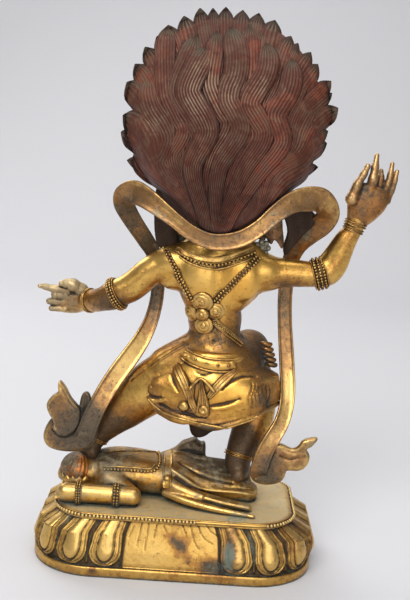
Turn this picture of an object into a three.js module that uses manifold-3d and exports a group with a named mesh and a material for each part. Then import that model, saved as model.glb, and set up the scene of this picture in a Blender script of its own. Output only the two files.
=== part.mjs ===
// A gilt bronze figure striding over a prone figure on a lotus plinth, with a red fan of hair.
// Millimetres. +Z is up, the figure faces +Y and its back faces -Y. The origin is the centre of
// the plinth's underside. The figure's own left hand is on the -X side.
import * as THREE from 'three';
import { mergeVertices } from 'three/addons/utils/BufferGeometryUtils.js';
import Module from 'manifold-3d';

const wasm = await Module();
wasm.setup();

// Plinth
const PLINTH_LENGTH = 126;
const PLINTH_DEPTH = 70;
const PLINTH_HEIGHT = 27;
const BAND_HEIGHT = 4.4;
const RIM_HEIGHT = 3;
const SIDE_FLARE = 10;
const BACK_FLARE = 5;
const FOOT_CORNER = 28;
const TOP_CORNER = 18;
const FRONT_FOOT_CORNER = 20;
const FRONT_TOP_CORNER = 13;
const PANEL_HALF = 21.5;
const PETAL_COUNT = 20;
const PETAL_RISE = 1.3;
const LOBE_RISE = 2.5;

// Gaps and depths between pieces
const CLEARANCE = 0.3;
const FIGURE_AXIS_X = 12.5;
const FIGURES_SHIFT = 1.2;

// Hair
const HAIR_CENTRE_X = 11.4;
const HAIR_CENTRE_Z = 201;
const HAIR_TIP_RADIUS = 46.8;
const HAIR_VALLEY_RADIUS = 42.6;
const HAIR_SWEEP = 268;
const TUFT_COUNT = 26;
const HAIR_RIM_Y = 3;
const HAIR_POLE_Z = 156;
const HAIR_RINGS = 6;
const LOCK_SWAY = 2.4;
const LOCK_RELIEF = 1.1;

// Scarf
const SCARF_HALF_THICK = 0.95;

// Chains on the back: how far the middle stands off the skin, and half their depth
const CORD_PROUD = 0.4;
const CORD_DEPTH = 1.4;

// Drawn limbs have this many sides round them
const LIMB_SIDES = 8;
const FINGER_SIDES = 5;
const RING_SIDES = 4;

const vec = (x, y, z) => new THREE.Vector3(x, y, z);
const degrees = THREE.MathUtils.degToRad;
const blend = THREE.MathUtils.lerp;
const smooth = THREE.MathUtils.smoothstep;

/** Joins equal rings of points into one closed solid, with a centre point at each end. */
function ringSolid(rings, startPoint, endPoint) {
  const sides = rings[0].length;
  const points = rings.flat();
  const startIndex = points.push(startPoint) - 1;
  const endIndex = points.push(endPoint) - 1;
  const faces = [];
  const lastRow = (rings.length - 1) * sides;
  for (let i = 0; i < sides; i += 1) {
    const next = (i + 1) % sides;
    faces.push([startIndex, next, i]);
    faces.push([endIndex, lastRow + i, lastRow + next]);
    for (let row = 0; row < rings.length - 1; row += 1) {
      const low = row * sides;
      const high = low + sides;
      faces.push([low + i, low + next, high + next]);
      faces.push([low + i, high + next, high + i]);
    }
  }
  return solidFromFaces(points, faces);
}

/** Turns points and faces into a solid, with the faces looking outward. */
function solidFromFaces(points, faces) {
  let volume = 0;
  const normal = new THREE.Vector3();
  for (const [a, b, c] of faces) {
    volume += points[a].dot(normal.crossVectors(points[b], points[c]));
  }
  const outward = faces.map(([a, b, c]) => (volume > 0 ? [a, b, c] : [a, c, b]));
  const geometry = new THREE.BufferGeometry().setFromPoints(points);
  geometry.setIndex(outward.flat());
  return solidOf(geometry);
}

/** Turns a closed three.js geometry into a solid that can be joined and cut. */
function solidOf(geometry) {
  geometry.deleteAttribute('normal');
  geometry.deleteAttribute('uv');
  const merged = mergeVertices(geometry, 1e-5);
  const mesh = new wasm.Mesh({
    numProp: 3,
    vertProperties: new Float32Array(merged.attributes.position.array),
    triVerts: new Uint32Array(merged.index.array),
  });
  return new wasm.Manifold(mesh);
}

/** Fuses a list of solids into one. */
function fuse(solids) {
  return solids.reduce((whole, solid) => whole.add(solid));
}

/** Adds raised bands to a row of stations, each at a distance along it. */
function banded(stations, bands) {
  const lengths = [0];
  for (let i = 1; i < stations.length; i += 1) {
    lengths.push(lengths[i - 1] + vec(...stations[i]).distanceTo(vec(...stations[i - 1])));
  }
  const inside = (distance) => bands.find(({ at, half }) => Math.abs(distance - at) < half);
  const marks = lengths.map((distance) => ({ distance, raise: inside(distance)?.proud ?? 0 }));
  for (const { at, half, proud } of bands) {
    const edge = Math.min(0.3, half / 2);
    marks.push({ distance: at - half, raise: 0 }, { distance: at - half + edge, raise: proud });
    marks.push({ distance: at + half - edge, raise: proud }, { distance: at + half, raise: 0 });
  }
  marks.sort((a, b) => a.distance - b.distance);
  return marks.map(({ distance, raise }) => {
    let i = 0;
    while (i < stations.length - 2 && lengths[i + 1] < distance) {
      i += 1;
    }
    const share = (distance - lengths[i]) / (lengths[i + 1] - lengths[i]);
    const station = stations[i].map((value, k) => blend(value, stations[i + 1][k], share));
    station[3] += raise;
    station[4] += raise;
    return station;
  });
}

/**
 * Draws a limb, cord or strip along stations of [x, y, z, half width, half depth].
 * The width lies across the path and across `reference`, the depth along `reference`.
 */
function limb(stations, options = {}) {
  const { sides = LIMB_SIDES, reference = vec(0, 1, 0), grow = 0 } = options;
  const { power = 1, startDome = 0, endDome = 0.6, closed = false } = options;
  const rows = stations.map(([x, y, z, wide, deep]) => ({ point: vec(x, y, z), wide, deep }));
  const ringAt = (row, direction, scale, shift) => {
    const side = new THREE.Vector3().crossVectors(direction, reference).normalize();
    const rise = new THREE.Vector3().crossVectors(side, direction).normalize();
    const ring = [];
    for (let i = 0; i < sides; i += 1) {
      const angle = (i + 0.5) / sides * Math.PI * 2;
      const squared = (value) => Math.sign(value) * Math.abs(value) ** power;
      const across = (row.wide + grow) * scale * squared(Math.cos(angle));
      const through = (row.deep + grow) * scale * squared(Math.sin(angle));
      ring.push(row.point.clone()
        .addScaledVector(side, across)
        .addScaledVector(rise, through)
        .addScaledVector(direction, shift));
    }
    return ring;
  };
  const last = rows.length - 1;
  const directionAt = (i) => {
    const before = rows[closed ? (i + last) % last : Math.max(i - 1, 0)].point;
    const after = rows[closed ? (i + 1) % last : Math.min(i + 1, last)].point;
    return after.clone().sub(before).normalize();
  };
  if (closed) {
    return loopSolid(rows.slice(0, last).map((row, i) => ringAt(row, directionAt(i), 1, 0)));
  }
  const rings = rows.map((row, i) => ringAt(row, directionAt(i), 1, 0));
  const first = directionAt(0);
  const final = directionAt(last);
  const startReach = (Math.min(rows[0].wide, rows[0].deep) + grow) * startDome;
  const endReach = (Math.min(rows[last].wide, rows[last].deep) + grow) * endDome;
  if (startDome > 0) {
    rings.unshift(ringAt(rows[0], first, 0.7, -0.75 * startReach));
  }
  if (endDome > 0) {
    rings.push(ringAt(rows[last], final, 0.7, 0.75 * endReach));
  }
  const start = rows[0].point.clone().addScaledVector(first, -startReach);
  const end = rows[last].point.clone().addScaledVector(final, endReach);
  return ringSolid(rings, start, end);
}

/** Joins rings end to end into a closed hoop. */
function loopSolid(rings) {
  const sides = rings[0].length;
  const faces = [];
  rings.forEach((ring, row) => {
    const low = row * sides;
    const high = ((row + 1) % rings.length) * sides;
    for (let i = 0; i < sides; i += 1) {
      const next = (i + 1) % sides;
      faces.push([low + i, low + next, high + next]);
      faces.push([low + i, high + next, high + i]);
    }
  });
  return solidFromFaces(rings.flat(), faces);
}

/** A ring round a limb: centre, axis, the limb's two half sizes and the ring's own radius. */
function hoop(centre, axis, across, through, cord, count = 12) {
  const direction = axis.clone().normalize();
  const side = new THREE.Vector3().crossVectors(direction, vec(0, 1, 0)).normalize();
  const rise = new THREE.Vector3().crossVectors(direction, side).normalize();
  const geometry = new THREE.TorusGeometry(across, cord, RING_SIDES, count);
  geometry.scale(1, through / across, 1);
  geometry.applyMatrix4(new THREE.Matrix4().makeBasis(side, rise, direction).setPosition(centre));
  return solidOf(geometry);
}

/** A smooth blob with three half sizes, turned by Euler degrees. */
function blob(x, y, z, halfX, halfY, halfZ, options = {}) {
  const { turn = [0, 0, 0], grow = 0, around = 14, rows = 8 } = options;
  const geometry = new THREE.SphereGeometry(1, around, rows);
  geometry.scale(halfX + grow, halfY + grow, halfZ + grow);
  const rotation = new THREE.Matrix4().makeRotationFromEuler(new THREE.Euler(...turn.map(degrees)));
  geometry.applyMatrix4(rotation.setPosition(x, y, z));
  return solidOf(geometry);
}

// Lotus plinth

/** A point and outward direction on a rectangle with rounded corners, by share of its edge. */
function plinthEdge(distance, halfLength, halfDepth, backCorner, frontCorner) {
  const side = 2 * halfDepth - backCorner - frontCorner;
  const quarter = (radius) => radius * Math.PI / 2;
  const legs = [halfLength - backCorner, quarter(backCorner), side, quarter(frontCorner),
    2 * (halfLength - frontCorner), quarter(frontCorner), side, quarter(backCorner),
    halfLength - backCorner];
  const total = legs.reduce((sum, leg) => sum + leg, 0);
  let left = THREE.MathUtils.euclideanModulo(distance, 1) * total;
  let leg = 0;
  while (leg < legs.length - 1 && left > legs[leg]) {
    left -= legs[leg];
    leg += 1;
  }
  const turn = -Math.PI / 2 + Math.floor(leg / 2) * Math.PI / 2;
  if (leg % 2 === 1) {
    const radius = leg === 1 || leg === 7 ? backCorner : frontCorner;
    const signX = leg < 4 ? 1 : -1;
    const signY = leg === 1 || leg === 7 ? -1 : 1;
    const outward = vec(Math.cos(turn + left / radius), Math.sin(turn + left / radius), 0);
    const centre = vec(signX * (halfLength - radius), signY * (halfDepth - radius), 0);
    return { point: centre.addScaledVector(outward, radius), outward };
  }
  const starts = [vec(0, -halfDepth, 0), vec(halfLength, backCorner - halfDepth, 0),
    vec(halfLength - frontCorner, halfDepth, 0), vec(-halfLength, halfDepth - frontCorner, 0),
    vec(backCorner - halfLength, -halfDepth, 0)];
  const outward = vec(Math.cos(turn), Math.sin(turn), 0);
  const along = vec(-Math.sin(turn), Math.cos(turn), 0);
  return { point: starts[leg / 2].addScaledVector(along, left), outward };
}

/**
 * The plinth's wall at each height: how far it is drawn in at the back and front and at the two
 * ends, where it bulges more, and how wide its petals are.
 */
const WALL_ROWS = [
  { z: 3, inset: 0.10, ends: 0.10, petal: 0.0, lobe: 0.0, rise: 0.0 },
  { z: 4.6, inset: 0.13, ends: 0.10, petal: 0.45, lobe: 0.16, rise: 0.55 },
  { z: 6.4, inset: 0.17, ends: 0.06, petal: 0.84, lobe: 0.42, rise: 1.0 },
  { z: 11, inset: 0.36, ends: 0.1, petal: 0.93, lobe: 0.53, rise: 1.0 },
  { z: 18.5, inset: 0.81, ends: 0.3, petal: 0.84, lobe: 0.43, rise: 0.8 },
  { z: 24.4, inset: 1.1, ends: 1.1, petal: 0.7, lobe: 0.3, rise: 0.3 },
];

/** A point of the plinth's wall, by share of the way round and how far it is drawn in. */
function wallAt(share, inset, ends = inset) {
  return plinthEdge(
    share,
    PLINTH_LENGTH / 2 - ends * SIDE_FLARE,
    PLINTH_DEPTH / 2 - inset * BACK_FLARE,
    blend(FOOT_CORNER, TOP_CORNER, inset),
    blend(FRONT_FOOT_CORNER, FRONT_TOP_CORNER, inset),
  );
}

function lotusPlinth() {
  const slab = (rows, points) => {
    const rings = rows.map(({ z, inset }) => {
      const ring = [];
      for (let i = 0; i < points; i += 1) {
        ring.push(wallAt(i / points, inset).point.setZ(z));
      }
      return ring;
    });
    const low = rows[0].z;
    const high = rows[rows.length - 1].z;
    return ringSolid(rings, vec(0, 0, low), vec(0, 0, high));
  };
  const band = slab([{ z: 0, inset: 0.03 }, { z: 0.8, inset: 0 },
    { z: BAND_HEIGHT - 0.6, inset: 0 }, { z: BAND_HEIGHT, inset: 0.06 }], 32);
  const rimLow = PLINTH_HEIGHT - RIM_HEIGHT;
  const rim = slab([{ z: rimLow, inset: 1.02 }, { z: rimLow + 0.8, inset: 0.93 },
    { z: PLINTH_HEIGHT - 0.7, inset: 0.93 }, { z: PLINTH_HEIGHT, inset: 1.0 }], 32);

  const perimeter = 2 * (PLINTH_LENGTH + PLINTH_DEPTH)
    - (4 - Math.PI) * (FOOT_CORNER + FRONT_FOOT_CORNER);
  const panelShare = PANEL_HALF / perimeter;
  const pitch = (1 - 2 * panelShare) / PETAL_COUNT;
  const rings = WALL_ROWS.map(({ z, inset, ends, petal, lobe, rise }) => {
    const marks = [];
    for (let k = 0; k < PETAL_COUNT; k += 1) {
      const middle = panelShare + (k + 0.5) * pitch;
      const step = (share, lift) => marks.push([middle + share * pitch / 2, lift * rise]);
      step(-1, 0);
      step(-petal, PETAL_RISE);
      step(-lobe * 0.55, LOBE_RISE);
      step(lobe * 0.55, LOBE_RISE);
      step(petal, PETAL_RISE);
    }
    marks.push([1 - panelShare, 0], [1, 0]);
    return marks.map(([share, lift]) => {
      const edge = wallAt(share, inset, ends);
      return edge.point.addScaledVector(edge.outward, lift - 1.2).setZ(z);
    });
  });
  const wall = ringSolid(rings, vec(0, 0, WALL_ROWS[0].z), vec(0, 0, WALL_ROWS.at(-1).z));
  return fuse([band, wall, rim]);
}

// Standing figure

/** The trunk's half sizes at each height: [x, y, z, half width, half depth]. */
const TRUNK = [
  [15, 1, 76, 19, 12],
  [14.5, 0, 86, 20, 13],
  [13.1, 0, 92, 16.2, 12],
  [12.2, 0.5, 98.7, 12.4, 10.5],
  [11.4, 1, 105.6, 11, 9.5],
  [10.7, 1, 112, 11.5, 9.6],
  [11, 0.5, 118, 13.6, 10.2],
  [12.2, 0, 124, 17.5, 11],
  [13.2, 0, 133, 21.5, 11],
  [12.8, 0, 139.5, 20, 10],
  [12.6, 1.5, 144, 12, 8.5],
  [12.3, 3, 150, 8, 8],
];

/** The Y of the trunk's back surface at x and z. */
function backOf(x, z) {
  let i = 0;
  while (i < TRUNK.length - 2 && z > TRUNK[i + 1][2]) {
    i += 1;
  }
  const a = TRUNK[i];
  const b = TRUNK[i + 1];
  const share = (z - a[2]) / (b[2] - a[2]);
  const [centreX, centreY, , wide, deep] = a.map((value, k) => blend(value, b[k], share));
  const across = Math.min(Math.abs(x - centreX) / wide, 0.98);
  return centreY - deep * Math.sqrt(1 - across * across);
}

/** A flat cord laid on the trunk's back through points of [x, z]. */
function backCord(points, half) {
  const path = new THREE.CatmullRomCurve3(points.map(([x, z]) => vec(x, 0, z)));
  const stations = path.getPoints((points.length - 1) * 2).map(({ x, z }) => (
    [x, backOf(x, z) - CORD_PROUD, z, half, CORD_DEPTH]));
  return limb(stations, { sides: 4, endDome: 0 });
}

const LEFT_ARM = [
  [2, 0, 137, 7, 7.5],
  [-9, 0, 135.2, 7.4, 7.5],
  [-15, 0, 132.6, 6.9, 7],
  [-19.5, 0, 129.6, 6.6, 6.6],
  [-23.2, 0, 125.9, 6.6, 6.4],
  [-27, 0.2, 122.6, 6.6, 6.3],
  [-31, 0.6, 120.3, 6.4, 6.2],
  [-35.2, 1.6, 117.9, 6.4, 6],
  [-39.3, 4.5, 115.8, 5.5, 5.6],
  [-43, 8.5, 114.5, 5, 5.2],
  [-46.6, 12, 113.6, 4.9, 4.7],
  [-49.6, 14.6, 113, 5.2, 4.4],
];
const LEFT_PALM = [
  [-49.4, 14.4, 113.2, 5.3, 4.2],
  [-53, 15.6, 112.9, 6.6, 4.4],
  [-57.2, 16, 112.4, 6.5, 4.2],
  [-60.5, 16, 112.2, 6, 3.8],
];
const LEFT_FINGERS = [
  [[-57, 13.6, 117.3, 2.5, 2.4], [-62.9, 12.8, 117.4, 1.9, 1.9], [-67.2, 12.2, 118.3, 1.5, 1.5],
    [-69.6, 12, 118.5, 1, 1]],
  [[-50.5, 13.5, 117.6, 3, 3], [-54.4, 12.2, 119.9, 2.9, 2.8], [-57.6, 11.4, 120.6, 2, 2.1],
    [-59.6, 11, 120.4, 1.2, 1.3]],
  [[-58.5, 14, 114.6, 2.2, 2.6], [-62.4, 13, 114.5, 1.9, 2.2]],
  [[-59, 14, 111.2, 2, 2.4], [-65, 12.8, 111.5, 1.5, 1.6]],
  [[-58, 14, 108.4, 1.8, 2.2], [-64, 13, 108.2, 1.3, 1.5]],
];
const RIGHT_ARM = [
  [22, 0, 135.5, 8, 7.8],
  [30, 0, 133.6, 7.4, 7.4],
  [37, 0, 133.5, 6.9, 6.8],
  [43.5, 0, 133.7, 6.3, 6.2],
  [49.3, 0, 133.7, 5.9, 5.8],
  [55, 0, 134, 5.8, 5.7],
  [60, 0, 134.8, 5.5, 5.6],
  [63.2, 0, 138.4, 4.9, 5.2],
  [65.2, -0.6, 143, 4.3, 4.6],
  [67.2, -1.4, 149, 4, 4.2],
  [69.2, -2, 154.6, 4.1, 3.8],
  [70.9, -2.4, 160, 4.8, 3.6],
];
const RIGHT_PALM = [
  [70.8, -2.4, 159.6, 4.9, 3.5],
  [72.6, -2.8, 163.6, 7.2, 3.7],
  [74.4, -3, 168.4, 8.9, 3.6],
  [75.4, -3, 172.4, 8.3, 3],
];
const RIGHT_FINGERS = [
  [[67.4, -4.6, 168.6, 2.8, 2.8], [69.2, -5, 174.8, 2, 2.1], [71.6, -4.6, 179.6, 1.6, 1.7],
    [73, -4.2, 183, 1.2, 1.3]],
  [[74.6, -3.8, 170.6, 2.6, 2.2], [75.8, -4, 177.7, 2.1, 2], [76.4, -3, 182.9, 1.7, 1.7],
    [76.9, -2, 187.8, 1, 1.1]],
  [[78.2, -1.8, 171.2, 2, 2.2], [79.6, -0.8, 177.1, 1.7, 1.8], [79.8, 1, 181.2, 1, 1.1]],
  [[81.4, -2, 171, 1.9, 1.9], [83.4, -1.2, 178, 1.6, 1.7], [84.2, 0, 184.6, 0.9, 1]],
  [[83, -2, 168.6, 1.7, 1.7], [85.4, -1, 175.5, 1.4, 1.5], [86.6, 0, 181.4, 0.9, 1]],
];
const LEFT_LEG = [
  [8, 1, 86, 18, 12],
  [-1, 2, 84.4, 18, 12],
  [-8, 2.5, 81.6, 16.4, 12],
  [-14.5, 3, 78.4, 14.4, 11.5],
  [-20, 3, 73.8, 12.8, 10.5],
  [-24.4, 3, 69.8, 11.8, 9.5],
  [-28.6, 3, 65.8, 10.6, 8.5],
  [-32.4, 3, 61.6, 9, 7.6],
  [-35.4, 3, 57.6, 7.4, 6.8],
  [-38.4, 3, 53, 5.6, 5.8],
  [-41, 3, 48.4, 4.6, 5],
  [-42.4, 3, 45, 4.6, 4.8],
];
const LEFT_FOOT = [
  [-41, -1, 45.4, 4, 3],
  [-42.6, 3, 44.8, 4.6, 3.4],
  [-45.5, 9, 44, 4.6, 2.8],
  [-48.5, 15, 43.2, 4.4, 2],
];
const RIGHT_LEG = [
  [19, 0, 85, 13, 12],
  [24.5, 6, 91, 11.5, 11],
  [28, 12, 95, 10.6, 9.6],
  [30.4, 18, 95, 9.4, 9],
  [31.4, 21, 88, 8.8, 9],
  [31.4, 18, 78, 8.8, 8.6],
  [31, 13.5, 68, 8.4, 8],
  [30, 9, 58, 7.3, 7.2],
  [28.6, 6.6, 51, 6.2, 6.2],
  [27.2, 4.6, 45, 5.5, 5.4],
  [26.8, 4, 39, 5.4, 5.4],
];
const RIGHT_FOOT = [
  [26.8, -1, 37.6, 4.4, 3.2],
  [27, 4, 37.4, 5, 3.6],
  [28.4, 12, 36, 5, 3],
  [30, 20, 34.6, 4.6, 2.2],
];

/** The draped skirt: a bell whose hem hangs lower behind than at its two ends. */
function skirt() {
  const rows = [
    { x: 12.6, y: 0, z: 97.6, wide: 14, deep: 11.4, lift: 1.6 },
    { x: 12.6, y: 0, z: 97.2, wide: 14.8, deep: 12.4, lift: 1.6 },
    { x: 13, y: 0, z: 93.2, wide: 16.6, deep: 13.7, lift: 1.6 },
    { x: 13, y: 0, z: 92.9, wide: 16.2, deep: 12.9, lift: 1.4 },
    { x: 13.4, y: 0, z: 89, wide: 20, deep: 14.4, lift: 1 },
    { x: 13.9, y: 0.4, z: 82, wide: 26.4, deep: 16.4, lift: 2 },
    { x: 12.6, y: 0.8, z: 74, wide: 28.6, deep: 17.6, lift: 4.5 },
    { x: 12.2, y: 1, z: 67.2, wide: 29.4, deep: 18, lift: 8 },
    { x: 12.2, y: 1, z: 65, wide: 28.8, deep: 17.6, lift: 8.6 },
    { x: 12.2, y: 1, z: 66, wide: 26.6, deep: 16, lift: 8.6 },
  ];
  const count = 20;
  const rings = rows.map(({ x, y, z, wide, deep, lift }, row) => {
    const ring = [];
    for (let i = 0; i < count; i += 1) {
      const angle = i / count * Math.PI * 2;
      const ripple = 0.5 * smooth(row, 4, 6) * Math.cos(angle * 8);
      const end = Math.cos(angle) ** 2;
      ring.push(vec(
        x + (wide + ripple) * Math.cos(angle),
        y + (deep + ripple) * Math.sin(angle),
        z + lift * end,
      ));
    }
    return ring;
  });
  return ringSolid(rings, vec(12.6, 0, 98), vec(12.2, 1, 72));
}

/** Knotted ribbons, tail and the small hip ornaments on the skirt's back. */
function waistTrim() {
  const trim = [];
  const skin = (x, z, proud) => [x, -1 - (12.8 + (96 - z) * 0.16) * Math.sqrt(
    1 - Math.min(((x - 12.8) / 27) ** 2, 0.9),
  ) - proud, z];
  const ribbon = (points, half, deep) => trim.push(limb(
    points.map(([x, z, proud = 0]) => [...skin(x, z, proud), half, deep]),
    { sides: 4, endDome: 0 },
  ));
  ribbon([[-3, 94], [0, 88], [3, 80]], 1.5, 1.1);
  ribbon([[21, 93], [15, 88], [11, 84]], 1.5, 1.1);
  ribbon([[7, 86.5, 0.8], [5, 81, 1.2], [4.4, 75.4, 1.2]], 1.6, 1.2);
  ribbon([[8.6, 88, 1], [9, 80, 1.6], [9.4, 72.5, 1.4]], 2.4, 1.3);
  const [ballX, ballY, ballZ] = skin(2.4, 75.8, 1);
  trim.push(blob(ballX, ballY, ballZ, 2.4, 2, 2.6, { around: 6, rows: 4 }));
  const [curlX, curlY, curlZ] = skin(9.8, 73, 2);
  trim.push(blob(curlX, curlY, curlZ, 2.5, 1.7, 2.5, { around: 6, rows: 4 }));
  for (let i = 0; i < 4; i += 1) {
    trim.push(blob(35 + i * 0.7, 6.6, 99.4 - i * 3.3, 2.7, 3, 1.9, { around: 6, rows: 4 }));
  }
  trim.push(limb([[-13.6, -9.6, 80, 2.2, 1.2], [-16.4, -7.6, 76.2, 1.9, 1.2],
    [-19.4, -5, 75.8, 1, 1]], { sides: 4, endDome: 0 }));
  trim.push(limb([[9.4, 6, 77, 5.6, 4.4], [10, 8, 67, 5.4, 4.2], [10.6, 9.4, 61, 4.2, 3]],
    { sides: 8 }));
  return fuse(trim);
}

/** The collar of beads, low behind and resting on the shoulders. */
function neckRing() {
  const rows = [];
  for (let i = 0; i <= 12; i += 1) {
    const angle = (i / 12 + 0.25) * Math.PI * 2;
    rows.push([
      FIGURE_AXIS_X + 15 * Math.cos(angle),
      0.4 + 10.9 * Math.sin(angle),
      143.6 - 5 * Math.abs(Math.sin(angle)) ** 1.5,
      2,
      1.5,
    ]);
  }
  return limb(rows, { sides: 4, closed: true, reference: vec(0, 0, 1) });
}

/** Necklace, back chains and rosette. */
function jewellery() {
  const trim = [];
  const rosetteX = 6.8;
  const rosetteZ = 115.4;
  const seat = backOf(rosetteX, rosetteZ) - 0.7;
  for (const [shiftX, shiftZ, size] of [[0.6, 5.4, 3.9], [-5.4, 0.2, 3.4], [7.2, 1.4, 3.6],
    [0.4, -5.4, 3.4], [0.6, 0.2, 2.6]]) {
    trim.push(blob(rosetteX + shiftX, seat + 0.2 * Math.abs(shiftX), rosetteZ + shiftZ,
      size, 1.9, size, { around: 7, rows: 4 }));
  }
  trim.push(backCord([[-5, 143], [-2.6, 134], [0.6, 125.5], [3.6, 119.6]], 1.1));
  trim.push(backCord([[29, 142], [24, 134], [17.6, 126], [11.6, 119.6]], 1.1));
  trim.push(backCord([[10, 111], [15.4, 107.4], [20.6, 103]], 1.3));
  trim.push(neckRing());
  return fuse(trim);
}

const HEAD_CENTRE = vec(12, 8, 160);

/** The neck, skull and jaw, which the hair closes round. */
function skull(grow) {
  return [
    limb([[12.5, 1.5, 141, 9.5, 8.5], [12.2, 3, 148, 8.2, 7.6], [12, 5, 154, 8.4, 8]],
      { sides: 8, grow }),
    blob(...HEAD_CENTRE.toArray(), 10.8, 11.6, 14.4, { grow, around: 10, rows: 8 }),
    blob(12, 12.6, 152.4, 7.6, 6.6, 6.6, { grow, around: 7, rows: 5 }),
  ];
}

/** Ears, their discs and the ties that carry them, and the plain diadem of five leaves. */
function headTrim(grow) {
  const { x, y, z } = HEAD_CENTRE;
  const parts = [limb([[x, 19.4, 163, 1, 1], [x, 21, 158.6, 1.9, 1.9]], { sides: 4, grow })];
  for (const side of [-1, 1]) {
    const disc = vec(x + side * 18.6, -1.6, 148.4);
    parts.push(blob(...disc.toArray(), 4, 2, 3.2, { grow, around: 7, rows: 4 }));
    parts.push(limb([[x + side * 8, 5, 164, 3.4, 1.6], [x + side * 17, 2, 165, 3.4, 1.2],
      [x + side * 25, 3, 156, 4.2, 1.1], [x + side * 26, 5, 146.4, 2.6, 1]],
    { sides: 4, grow, endDome: 0 }));
    parts.push(limb([[x + side * 9, 8, 159, 2, 5], [x + side * 11, 6, 154, 1.6, 2.6],
      [...disc.toArray(), 1.6, 1.6]], { sides: 5, grow, endDome: 0 }));
  }
  for (let i = -2; i <= 2; i += 1) {
    const angle = degrees(i * 32);
    const out = vec(Math.sin(angle), Math.cos(angle), 0);
    const foot = vec(x, y, z + 5).addScaledVector(out, 9.4);
    const tall = i === 0 ? 13 : 11.4;
    const tip = foot.clone().add(vec(0, 0, tall)).addScaledVector(out, 1.6);
    parts.push(limb([[...foot.toArray(), 3.4, 1.8], [...tip.toArray(), 0.6, 0.7]],
      { sides: 4, reference: out, grow, endDome: 0 }));
  }
  return parts;
}

/** The chest's front: plain pectoral muscles and belly. */
function front() {
  return fuse([
    blob(12, 5, 110, 11.6, 9.6, 12, { around: 10, rows: 6 }),
    blob(12.6, 6, 128.4, 15, 6, 6.4, { around: 9, rows: 4 }),
  ]);
}

/** Raised bands of the limbs: distance along the limb, half length and how proud they stand. */
const ARMLET_LEFT = [{ at: 40.6, half: 1.7, proud: 0.9 }, { at: 58.6, half: 0.6, proud: 0.6 }];
const ARMLET_RIGHT = [
  { at: 34.8, half: 2.9, proud: 0.9 },
  { at: 60.4, half: 0.9, proud: 0.9 },
  { at: 63, half: 0.9, proud: 0.9 },
];
const ANKLET_LEFT = [{ at: 60, half: 0.9, proud: 0.8 }];
const ANKLET_RIGHT = [{ at: 76.5, half: 0.9, proud: 0.9 }];

function legs(grow) {
  return [
    limb(banded(LEFT_LEG, ANKLET_LEFT), { grow }),
    limb(LEFT_FOOT, { grow, sides: 8 }),
    limb(banded(RIGHT_LEG, ANKLET_RIGHT), { grow }),
    limb(RIGHT_FOOT, { grow, sides: 8 }),
  ];
}

function standingFigure() {
  const fingers = [...LEFT_FINGERS, ...RIGHT_FINGERS];
  return fuse([
    limb(TRUNK, { sides: 12 }),
    limb(banded(LEFT_ARM, ARMLET_LEFT)),
    limb(LEFT_PALM),
    limb(banded(RIGHT_ARM, ARMLET_RIGHT)),
    limb(RIGHT_PALM),
    ...fingers.map((stations) => limb(stations, { sides: FINGER_SIDES })),
    ...legs(0),
    front(),
    ...skull(0),
    ...headTrim(0),
    skirt(),
    waistTrim(),
    jewellery(),
  ]);
}

// Fan of hair

/** The rim's points: a valley and a tip to each tuft, then the smooth lower edge. */
function hairRim() {
  const rim = [];
  const polar = (angle, radius) => [
    HAIR_CENTRE_X + radius * Math.sin(degrees(angle)),
    HAIR_CENTRE_Z + radius * Math.cos(degrees(angle)),
  ];
  const pitch = HAIR_SWEEP / TUFT_COUNT;
  for (let k = 0; k < TUFT_COUNT; k += 1) {
    const start = -HAIR_SWEEP / 2 + k * pitch;
    const uneven = 0.9 * Math.sin(k * 2.4);
    rim.push([...polar(start, HAIR_VALLEY_RADIUS), -1]);
    rim.push([...polar(start + pitch * 0.5, HAIR_TIP_RADIUS + uneven), 1]);
  }
  rim.push([...polar(HAIR_SWEEP / 2, HAIR_VALLEY_RADIUS), -1]);
  const lower = [[37, 160.5], [28, 152.5], [18, 147.2], [7, 146.8], [-2.6, 150.6], [-12, 158.6]];
  lower.forEach(([x, z], i) => rim.push([x, z, i % 2 ? 0.6 : -0.4]));
  return rim;
}

function flameHair() {
  const rim = hairRim();
  const ringAt = (share, face) => rim.map(([x, z, crest]) => {
    const reach = Math.hypot(x - HAIR_CENTRE_X, z - HAIR_POLE_Z);
    const dirX = (x - HAIR_CENTRE_X) / reach;
    const dirZ = (z - HAIR_POLE_Z) / reach;
    const swell = Math.sin(Math.PI * share);
    const sway = LOCK_SWAY * swell * Math.sin(share * 9.4 + dirX * 1.5) * smooth(reach, 12, 40);
    const along = reach * share;
    const depth = face < 0
      ? 16 * (1 - share ** 1.6) + 10 * swell
      : 12 * swell ** 0.8 - 2 * (1 - share);
    const relief = crest * LOCK_RELIEF * smooth(share, 0.05, 0.4);
    return vec(
      HAIR_CENTRE_X + dirX * along - dirZ * sway,
      HAIR_RIM_Y + face * (depth + relief * swell),
      HAIR_POLE_Z + dirZ * along + dirX * sway,
    );
  });
  const shares = [];
  for (let i = 1; i <= HAIR_RINGS; i += 1) {
    shares.push(Math.sin(i / HAIR_RINGS * Math.PI / 2) ** 1.15);
  }
  const back = shares.map((share) => ringAt(share, -1));
  const frontRings = shares.slice(0, -1).reverse().map((share) => ringAt(share, 1));
  return ringSolid(
    [...back, ...frontRings],
    vec(HAIR_CENTRE_X, HAIR_RIM_Y - 16, HAIR_POLE_Z),
    vec(HAIR_CENTRE_X, HAIR_RIM_Y - 2, HAIR_POLE_Z),
  );
}

// Scarf

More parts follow.
